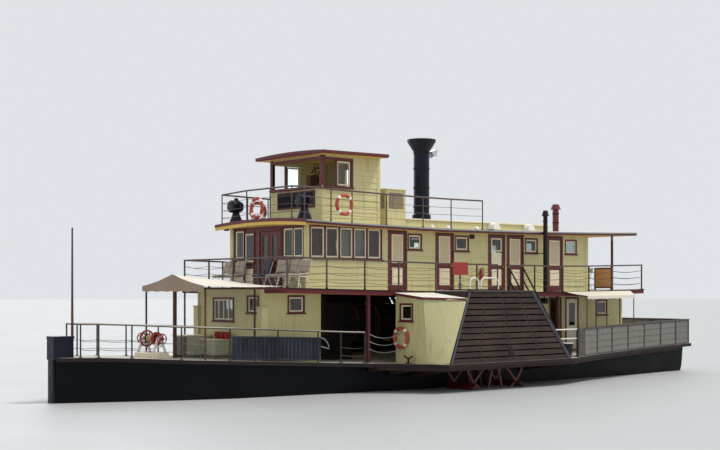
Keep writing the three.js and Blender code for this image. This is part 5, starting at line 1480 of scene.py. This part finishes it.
gable_at = at(AWNING_FORE - 0.01) - 0.018 * w * np.cos(4.5 * v)
fall = np.stack([gable_at, GABLE_HALF * v, wl(head + (foot - head) * w)], -1)
# The gable hangs in the darker cloth, as painted shade.
hang("fore_awning_gable", fall, GABLE_SHADE_CANVAS)
print("fore awning hung")

# %% Side awnings and their poles
HANDS = (("starboard", 1), ("port", MIRROR))
SIDE_FORE, SIDE_LONG, INNER_OUT, OUTER_OUT, NARROWING, SCALLOPS = 18.95, 3.75, 3.0, 4.0, 0.202, 14
POLES = np.array([18.99, 19.66, 20.48, 21.49, 22.64])
u, w = shares(57, 9)
edge_out, edge_up = OUTER_OUT - NARROWING * SIDE_LONG * u, 3.068 + 0.03 * u
inner_up = 3.203 + 0.045 * u
out = INNER_OUT + (edge_out - INNER_OUT) * w
up = inner_up + (edge_up - inner_up) * w
up = up - 0.018 * np.sin(math.pi * w) - 0.012 * np.sin(4 * math.pi * u) ** 2 * w
drop, turn = np.linspace(0.2, 1, 4), SCALLOPS * math.pi * u[:, :1]
flap, wave = drop * (0.1 + 0.025 * np.abs(np.sin(turn))), 0.008 * np.sin(2 * turn) * drop
out = np.concatenate([out, edge_out[:, :1] + wave], 1)
up = np.concatenate([up, up[:, -1:] - flap], 1)
stations = np.broadcast_to(SIDE_FORE + SIDE_LONG * u[:, :1], out.shape)
side_grid = np.stack([at(stations), out, wl(up)], -1)
pole_out = OUTER_OUT - NARROWING * (POLES - SIDE_FORE) - 0.045
pole_head = 3.06 + 0.008 * (POLES - SIDE_FORE)
pole_feet = np.stack([at(POLES), pole_out, main_top(POLES) - 0.01], 1)
heads = np.stack([at(POLES), pole_out, wl(pole_head) - 0.005], 1)
inner = np.stack([at(POLES), POLES * 0 + 2.96, wl(pole_head) + 0.11], 1)
poles = merged(rods(pole_feet, heads, 0.019, 10), rods(heads - (0, 0, 0.02), inner - (0, 0, 0.02), 0.014, 8),
               tube(heads - (0, 0, 0.015), 0.016, 8))
piece("side_awning_poles", pair(poles), TIMBER)
for side, hand in HANDS:
    canvas = hang("side_awning_" + side, side_grid * hand, CANVAS)
    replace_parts(canvas, "aft_awning_" + side)
print("side awnings on", len(POLES), "poles a side")

# %% [markdown]
# ## Curtains of the saloon
# Each of the five big windows has a gathered curtain behind it: six folds follow a sine across, and
# they open out a little towards the hem. The third and fourth are pale, the others dark red.

# %% Curtains on their rods
ROD_OUT, CURTAIN_HEAD, CURTAIN_LONG, FOLDS = 1.93, 5.3, 1.03, 6
curtain_rods = rods(spot(7.75, ROD_OUT, 5.315), spot(10.76, ROD_OUT, 5.315), 0.009, 8)
piece("curtain_rods", pair(curtain_rods), BRASS)
width = (BANK[1] - BANK[0] - 4 * MULLION) / 5
w, t = shares(9, 61)
for i in range(5):
    start = BANK[0] + i * (width + MULLION) - 0.01
    fold = 0.02 * np.sin(2 * FOLDS * math.pi * t + i) * (0.7 + 0.5 * w)
    grid = np.stack([at(start + (width + 0.02) * t), ROD_OUT + fold, wl(CURTAIN_HEAD - CURTAIN_LONG * w)], -1)
    finish = PALE_CURTAIN if i in (2, 3) else CURTAIN
    for side, hand in HANDS:
        hang(f"curtain_{side}_{i + 1}", grid * hand, finish,
             thick=0.003)
print("ten curtains hung")

# %% [markdown]
# ## Windlass
# Two white frames carry a shaft with a ribbed drum, a spoked hand wheel to one side and a toothed
# gear to the other, all on a cream bed. Rope lies on the drum in turns, which are rings of a lathe.

# %% Windlass with its wheels
GEAR_AT, deck_here = spot(3.27, 0, 1.79), main_top(3.27)


def spoked(y, radius, spokes, rim=0.028):
    """A hand wheel: a round rim, a hub and spokes at even angles."""
    centre = GEAR_AT + (0, y, 0)
    cos, sin = circle(spokes)
    tips = centre + (radius - 0.01) * np.stack([cos, cos * 0, sin], 1)
    loop = tube(arc(centre, radius - rim, 0, 352.5, count=48), rim, 8, True)
    return merged(loop, rods(np.broadcast_to(centre, tips.shape), tips, 0.016, 6),
                  lathe([(0.055, -0.04), (0.055, 0.04)], centre, "y", 14))


TEETH, GEAR_OUT, GEAR_RADIUS = 36, 0.29, 0.2
cos, sin = circle(TEETH)
gear_centre = GEAR_AT - (0, GEAR_OUT, 0)
teeth = gear_centre + GEAR_RADIUS * np.stack([cos, cos * 0, sin], 1)
cogs = merged(rods(teeth - (0, 0.03, 0), teeth + (0, 0.03, 0), 0.013, 6),
              band(0.13, 0.195, -0.03, 0.03, gear_centre, "y", TEETH))
wheels = merged(spoked(0.28, 0.26, 6), cogs, spoked(0.6, 0.17, 5, 0.018), spoked(-0.6, 0.17, 5, 0.018))
arms = [bars(gear_centre + (a * 0.05, 0, 0), gear_centre + (a * 0.16, 0, 0), 0.03, 0.05) for a in (-1, 1)]
shaft = rods(GEAR_AT - (0, 0.64, 0), GEAR_AT + (0, 0.64, 0), 0.03, 12)
windlass = piece("windlass_wheels", merged(wheels, *arms, shaft), RED, bevel=0.002)
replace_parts(windlass, "windlass")
ROPE_TURNS, STEPS = 9, 54
wound = [(0.105 + 0.022 * math.sin(math.pi * k * ROPE_TURNS / STEPS) ** 2, -0.2 + 0.36 * k / STEPS)
         for k in range(STEPS + 1)]
piece("windlass_rope", lathe([(0.06, -0.2), *wound, (0.06, 0.16)], GEAR_AT, "y", 24), ROPE)
cheeks_of_drum = merged(lathe([(0.13, -0.24), (0.15, -0.2), (0.1, -0.19)], GEAR_AT, "y", 20),
                        lathe([(0.1, 0.16), (0.15, 0.18), (0.13, 0.22)], GEAR_AT, "y", 20))
piece("windlass_drum", cheeks_of_drum, IRON)
frame_parts = []
for y in (-0.45, 0.45):
    foot = np.array((GEAR_AT[0], y, deck_here))
    frame_parts += [bars(foot + (x, 0, 0.15), GEAR_AT + (x * 0.15, y, 0.06), 0.05, 0.07)
                    for x in (-0.22, 0.22)]
    frame_parts.append(bars(foot + (-0.16, 0, 0.36), foot + (0.16, 0, 0.36), 0.045, 0.05))
    frame_parts.append(lathe([(0.075, -0.035), (0.075, 0.035)], GEAR_AT + (0, y, 0.01), "y", 16))
piece("windlass_frames", merged(*frame_parts), WHITE, bevel=0.004)
bed_foot = np.array((GEAR_AT[0], 0, deck_here))
bed = boxes(np.stack([bed_foot - (0.3, 0.515, 0.02), bed_foot + (0.3, 0.515, 0.16)], 1))
piece("windlass_bed", bed, SASH, bevel=0.008)
print("windlass built at station 3.27")

# %% [markdown]
# ## Foredeck gear
# Two lockers stand behind the windlass, one with an overhanging lid and one with fire buckets on it.
# The gangplank is stowed on edge along the port side and stiffened with upright slats, and the
# jackstaff at the stem is brown below and grey above.

# %% Lockers, buckets, gangplank and jackstaff
LONG_TOP, SHORT_TOP, deck_here = 1.81, 1.69, main_top(5.3) - DRAFT
lids = blocks((4.66, 5.87, 0.44, 1.12, LONG_TOP - 0.005, LONG_TOP + 0.03),
              (5.29, 6.07, -0.36, 0.5, SHORT_TOP - 0.005, SHORT_TOP + 0.025))
piece("locker_lids", lids, SASH, bevel=0.006)
straps = blocks((4.69, 4.82, 0.472, 1.088, deck_here, LONG_TOP),
                (4.69, 5.84, 0.474, 1.086, deck_here, deck_here + 0.09),
                (5.32, 6.05, -0.33, 0.45, deck_here, deck_here + 0.11))
piece("locker_straps", straps, BULWARK, bevel=0.004)
PAIL = [(0.075, 0.0), (0.115, 0.22), (0.12, 0.225), (0.11, 0.222), (0.07, 0.012)]
pails = []
for y in (-0.22, 0.05, 0.32):
    foot = spot(5.88, y, SHORT_TOP + 0.022)
    pails += [lathe(PAIL, foot, "z", 20, True), lathe([(0.072, 0.004), (0.074, 0.016)], foot, "z", 20)]
piece("fire_buckets", merged(*pails), RED)

PLANK_FORE, PLANK_AFT = np.array((at(4.9), -1.96)), np.array((at(7.9), -2.44))
way = PLANK_AFT - PLANK_FORE
plank_long = float(np.linalg.norm(way))
plank_turn = math.degrees(math.atan2(way[1], way[0]))
plank_foot, rise = (*PLANK_FORE, main_top(4.9) + 0.02), main_top(7.9) + 0.04 - main_top(4.9)
share = np.linspace(0.03, 0.97, 22)
rib_at, rib_foot = share * plank_long, share * rise + 0.05
ribs = boxes([(x - 0.022, x + 0.022, -0.062, 0.062, z, z + 0.63) for x, z in zip(rib_at, rib_foot)])
rails = merged(*[bars((0.02, y, h), (plank_long - 0.02, y, h + rise), 0.03, 0.05)
                 for y in (-0.05, 0.05) for h in (0.03, 0.7)])
piece("gangplank_ribs", placed(merged(ribs, rails), plank_foot, plank_turn), GREY_BOARD,
      bevel=0.003)
bend = arc((plank_long - 0.05, 0, 0.36 + rise), 0.36, 90, -90, count=17)
loop_start = (plank_long - 1.1, 0, 0.72 + rise * 0.7)
loop_end = (plank_long - 1.1, 0, rise * 0.7)
loop = tube(np.concatenate([[loop_start], bend, [loop_end]]), 0.02, 8)
piece("gangplank_tube", placed(loop, plank_foot, plank_turn), STEEL)

STAFF_STATION, STAFF_JOINT, STAFF_HEAD = 0.61, 3.0, 5.09
staff_foot = (at(STAFF_STATION), 0, main_top(0.65) - 0.01)
staff_joint, staff_head = spot(STAFF_STATION, 0, STAFF_JOINT), spot(STAFF_STATION, 0, STAFF_HEAD)
piece("jackstaff_foot", rods(staff_foot, staff_joint, 0.043, 12, 0.033), TIMBER)
piece("jackstaff_head", rods(staff_joint, staff_head, 0.034, 12, 0.024), BLUE_GREY)
pillar_foot = main_top(6.1) - DRAFT - 0.01
pillar = blocks((6.0, 6.26, 1.67, 1.93, pillar_foot, 2.72), (5.98, 6.28, 1.65, 1.95, 2.72, 2.76))
piece("corner_pillars", pair(pillar), CREAM, bevel=0.006)
print("foredeck gear set out;", len(share), "ribs on the gangplank")

# %% [markdown]
# ## Seats
# Padded chairs face the bow before the saloon: a crowned seat, a back with a dip in its middle and
# a frame of white tube that splays to its feet. Folding chairs and a table stand on the veranda.

# %% Padded chairs
DARK_SEAT = cloth("dark_seat_cloth", "3B424C", "2C313A", 260.0)
CHAIRS = [("a", 7.14, -1.18, 0.6, SEAT, 4), ("b", 7.1, -1.84, 0.46, SEAT, -6),
          ("c", 7.16, -2.33, 0.46, SEAT, 5), ("d", 7.2, -0.24, 0.42, DARK_SEAT, -3),
          ("e", 7.15, 1.2, 0.46, SEAT, 8), ("f", 7.12, 1.95, 0.46, SEAT, -5)]
frames = []
for name, station, y, wide, finish, heading in CHAIRS:
    foot = (at(station), y, upper_top(station))
    seat = placed(tipped(cushion(0.46, wide, 0.1), 4), np.add(foot, (-0.02, 0, 0.43)), heading)
    back = placed(tipped(cushion(0.44, wide, 0.09, 0.45), 76), np.add(foot, (0.24, 0, 0.72)), heading)
    piece("chair_seat_" + name, seat, finish, smooth=60.0)
    piece("chair_back_" + name, back, finish, smooth=60.0)
    for s in (-1, 1):
        reach = s * (wide / 2 - 0.02)
        splay = reach + 0.05 * s
        leg_line = [(-0.3, splay, 0.012), (-0.2, reach, 0.37), (0.16, reach, 0.385), (0.34, reach, 0.9)]
        brace_line = [(0.3, splay, 0.012), (0.14, reach, 0.36)]
        frames.append(placed(merged(tube(leg_line, 0.013, 6), tube(brace_line, 0.013, 6)), foot, heading))
    rungs = [rods((x, -wide / 2, z), (x, wide / 2, z), 0.012, 6) for x, z in ((-0.18, 0.375), (0.15, 0.385))]
    frames.append(placed(merged(*rungs), foot, heading))
piece("chair_frames", merged(*frames), WHITE)
print(len(CHAIRS), "padded chairs")

# %% Folding chairs, table and veranda screens
folding = merged(
    boxes([(-0.19, 0.19, -0.2, 0.2, 0.43, 0.455), (0.19, 0.212, -0.2, 0.2, 0.68, 0.86)]),
    bars([(-0.2, -0.2, 0.01), (-0.2, 0.2, 0.01)], [(0.2, -0.2, 0.88), (0.2, 0.2, 0.88)], 0.022),
    bars([(0.2, -0.175, 0.01), (0.2, 0.175, 0.01)], [(-0.17, -0.175, 0.43), (-0.17, 0.175, 0.43)], 0.022))
SPOTS = [(21.75, -1.15, 180), (22.1, 0.15, 100), (21.75, 1.3, 175), (22.75, -0.75, 0), (22.6, 1.1, 15)]
folded = [placed(folding, (at(s), y, upper_top(s)), heading) for s, y, heading in SPOTS]
LEG_UP = 0.7
table_legs = [(x, y) for x in (-0.3, 0.3) for y in (-0.4, 0.4)]
table = merged(boxes([(-0.35, 0.35, -0.45, 0.45, LEG_UP, LEG_UP + 0.03)]),
               bars([(x, y, 0.0) for x, y in table_legs], [(x, y, LEG_UP) for x, y in table_legs], 0.035))
furniture = merged(*folded, placed(table, (at(22.2), -0.65, upper_top(22.2))))
piece("veranda_furniture", furniture, WHITE, bevel=0.002)
screen = blocks(*[(22.285, 22.315, 1.62 + k * 0.1, 1.713 + k * 0.1, 3.4, 4.1) for k in range(8)])
piece("veranda_screens", pair(screen), TEAK, bevel=0.002)
SCREEN_FRAME = [(1.58, 2.46, 4.1, 4.15), (1.57, 1.62, 3.26, 4.14), (2.42, 2.47, 3.26, 4.14),
                (1.6, 2.44, 3.35, 3.4)]
screen_frame = blocks(*[(22.27, 22.33, *sides) for sides in SCREEN_FRAME])
piece("veranda_screen_frames", pair(screen_frame), MAROON, bevel=0.004)
print("veranda furnished with", len(SPOTS), "folding chairs")

# %% [markdown]
# ## Boiler, deck rails and loose gear
# The boiler shows through the open middle of the hull: bands round its barrel, a fire door and brass
# gauges on its front. White rails guard the deck abaft the paddle boxes, with a tub and bitts.

# %% Boiler fittings
BOILER_UP, BARREL, BAND_STATIONS = 2.15, (0.63, 0.655), (10.95, 11.9, 12.85, 13.8, 14.7)
boiler_bands = [band(*BARREL, -0.03, 0.03, spot(s, 0, BOILER_UP), "x", 48) for s in BAND_STATIONS]
piece("boiler_bands", merged(*boiler_bands), BRASS)
door_at = spot(9.5, 0, 1.75)
hinges = [bars(door_at + (-0.05, -0.28, h), door_at + (-0.05, 0.05, h), 0.03, 0.05) for h in (0.1, -0.1)]
steam_path = [spot(10.2, 0.3, 2.8), spot(10.2, 0.3, 3.0), spot(10.4, 0.3, 3.06), spot(14.5, 0.3, 3.06)]
fire_door = lathe([(0.0, -0.07), (0.2, -0.06), (0.24, -0.03), (0.24, 0.01)], door_at, "x", 28)
ash_door = blocks((9.45, 9.5, -0.34, 0.34, 1.05, 1.32))
pipes = merged(tube(steam_path, 0.05, 12), tube([spot(9.7, -0.45, 2.8), spot(9.7, -0.45, 3.08)], 0.035, 10))
piece("boiler_fittings", merged(fire_door, *hinges, ash_door, pipes), IRON, bevel=0.004)
GAUGE = [(0.07, -0.06), (0.08, -0.05), (0.08, 0.0)]
gauges = [lathe(GAUGE, spot(9.5, y, 2.5), "x", 20) for y in (-0.25, 0.0, 0.25)]
glass_tubes = [rods(spot(9.44, y, 2.05), spot(9.44, y, 2.4), 0.018, 10) for y in (-0.42, 0.42)]
piece("boiler_gauges", merged(*gauges, *glass_tubes), BRASS)
print("boiler has", len(boiler_bands), "bands")

# %% Deck rails, tub, bitts and lamps
white_rails = [rods(spot(s, 4.86, h), spot(17.42, 4.8, h), 0.022, 8)
               for s, h in ((16.24, 1.91), (16.43, 1.59))]
piece("after_deck_rails", pair(merged(*white_rails)), WHITE)
TUB, BITTS = 16.95, 26.45
tub_at = (at(TUB), -4.62, main_top(TUB))
tub = merged(lathe([(0.25, 0.0), (0.32, 0.5), (0.3, 0.5), (0.23, 0.03)], tub_at, "z", 28, True),
             lathe([(0.24, 0.01), (0.245, 0.04)], tub_at, "z", 28))
piece("deck_tub", tub, IRON)
tub_rim = tube(arc(np.add(tub_at, (0, 0, 0.5)), 0.315, 0, 350, "z", 36), 0.016, 6, True)
piece("deck_tub_rim", tub_rim, WHITE)
bitts = np.array([(at(BITTS), y, main_top(BITTS)) for y in (1.95, 2.2)])
bitt_deck = main_top(BITTS) - DRAFT
bitt_forms = merged(rods(bitts - (0, 0, 0.01), bitts + (0, 0, 0.3), 0.05, 14),
                    rods(bitts + (0, 0, 0.3), bitts + (0, 0, 0.33), 0.065, 14),
                    blocks((BITTS - 0.08, BITTS + 0.08, 1.85, 2.3, bitt_deck - 0.01, bitt_deck + 0.03)))
piece("stern_bitts", pair(bitt_forms), WHITE, bevel=0.004)
lamp = merged(blocks((18.1, 18.3, 2.5, 2.7, 2.78, 2.98)),
              rods(spot(18.2, 2.6, 2.98), spot(18.2, 2.6, 3.09), 0.02, 8))
piece("deck_lamps", pair(lamp), IRON, bevel=0.01)
flood = blocks(*[(s - 0.09, s + 0.09, 2.083, 2.17, h - 0.07, h + 0.07)
                 for s, h in ((7.44, 5.35), (14.95, 5.15))])
piece("wall_lamps", pair(flood), IRON, bevel=0.012)
plate = blocks((14.3, 14.48, 2.08, 2.1, 3.34, 3.52))
piece("wall_plates", pair(plate), STEEL, bevel=0.003)
notice = blocks((13.22, 13.95, 2.915, 2.93, 3.79, 4.22))
piece("rail_panels", port(notice), RED, bevel=0.004)
bottle_at = spot(15.34, 2.185, 3.62)
bottle = lathe([(0.055, 0.0), (0.062, 0.02), (0.062, 0.34), (0.04, 0.4), (0.02, 0.42)], bottle_at, "z", 20)
bracket = blocks((15.31, 15.37, 2.082, 2.14, 3.86, 3.9))
piece("extinguishers", pair(merged(bottle, bracket)), RED)
hose = tube(bottle_at + [(0, 0, 0.42), (0.08, 0.03, 0.44), (0.11, 0.03, 0.34), (0.1, 0.02, 0.15)], 0.012, 6)
piece("extinguisher_hoses", pair(hose), BLACK)
print("deck gear set out")

# %% [markdown]
# ## Boards on the flared wall
# The side wall of the house ahead of the paddle box is a ruled surface: at each height it runs
# straight from the leaning front corner to the raked edge of the box, so it twists as it rises.

# %% Flared boards
along, up = shares(25, 17)
height = 0.94 + up * (2.035 - 0.041 * along)
share = (height - BOX_FOOT) / BOX_RISE
corner_out, edge_out = 4.47 - 0.23 * (height - BOX_FOOT) / 2.065, BOX_OUT - BOX_LEAN * share
wall_out = corner_out + along * (edge_out - corner_out)
wall = np.stack([at(SPONSON_FRONT + along * (0.398 + 1.3 * share)), wall_out, wl(height)], -1)
square = np.cross(np.gradient(wall, axis=1), np.gradient(wall, axis=0))
square *= np.sign(square[..., 1:2]) / np.linalg.norm(square, axis=-1, keepdims=True)
flared_boards = slab(wall + 0.045 * square, wall + 0.005 * square)
# The flared boards take the darker cream, which is painted shade.
piece("sponson_boards", pair(flared_boards), CREAM_SHADED, smooth=60.0)
print("flared wall boarded,", wall.shape[0] * wall.shape[1], "points a side")
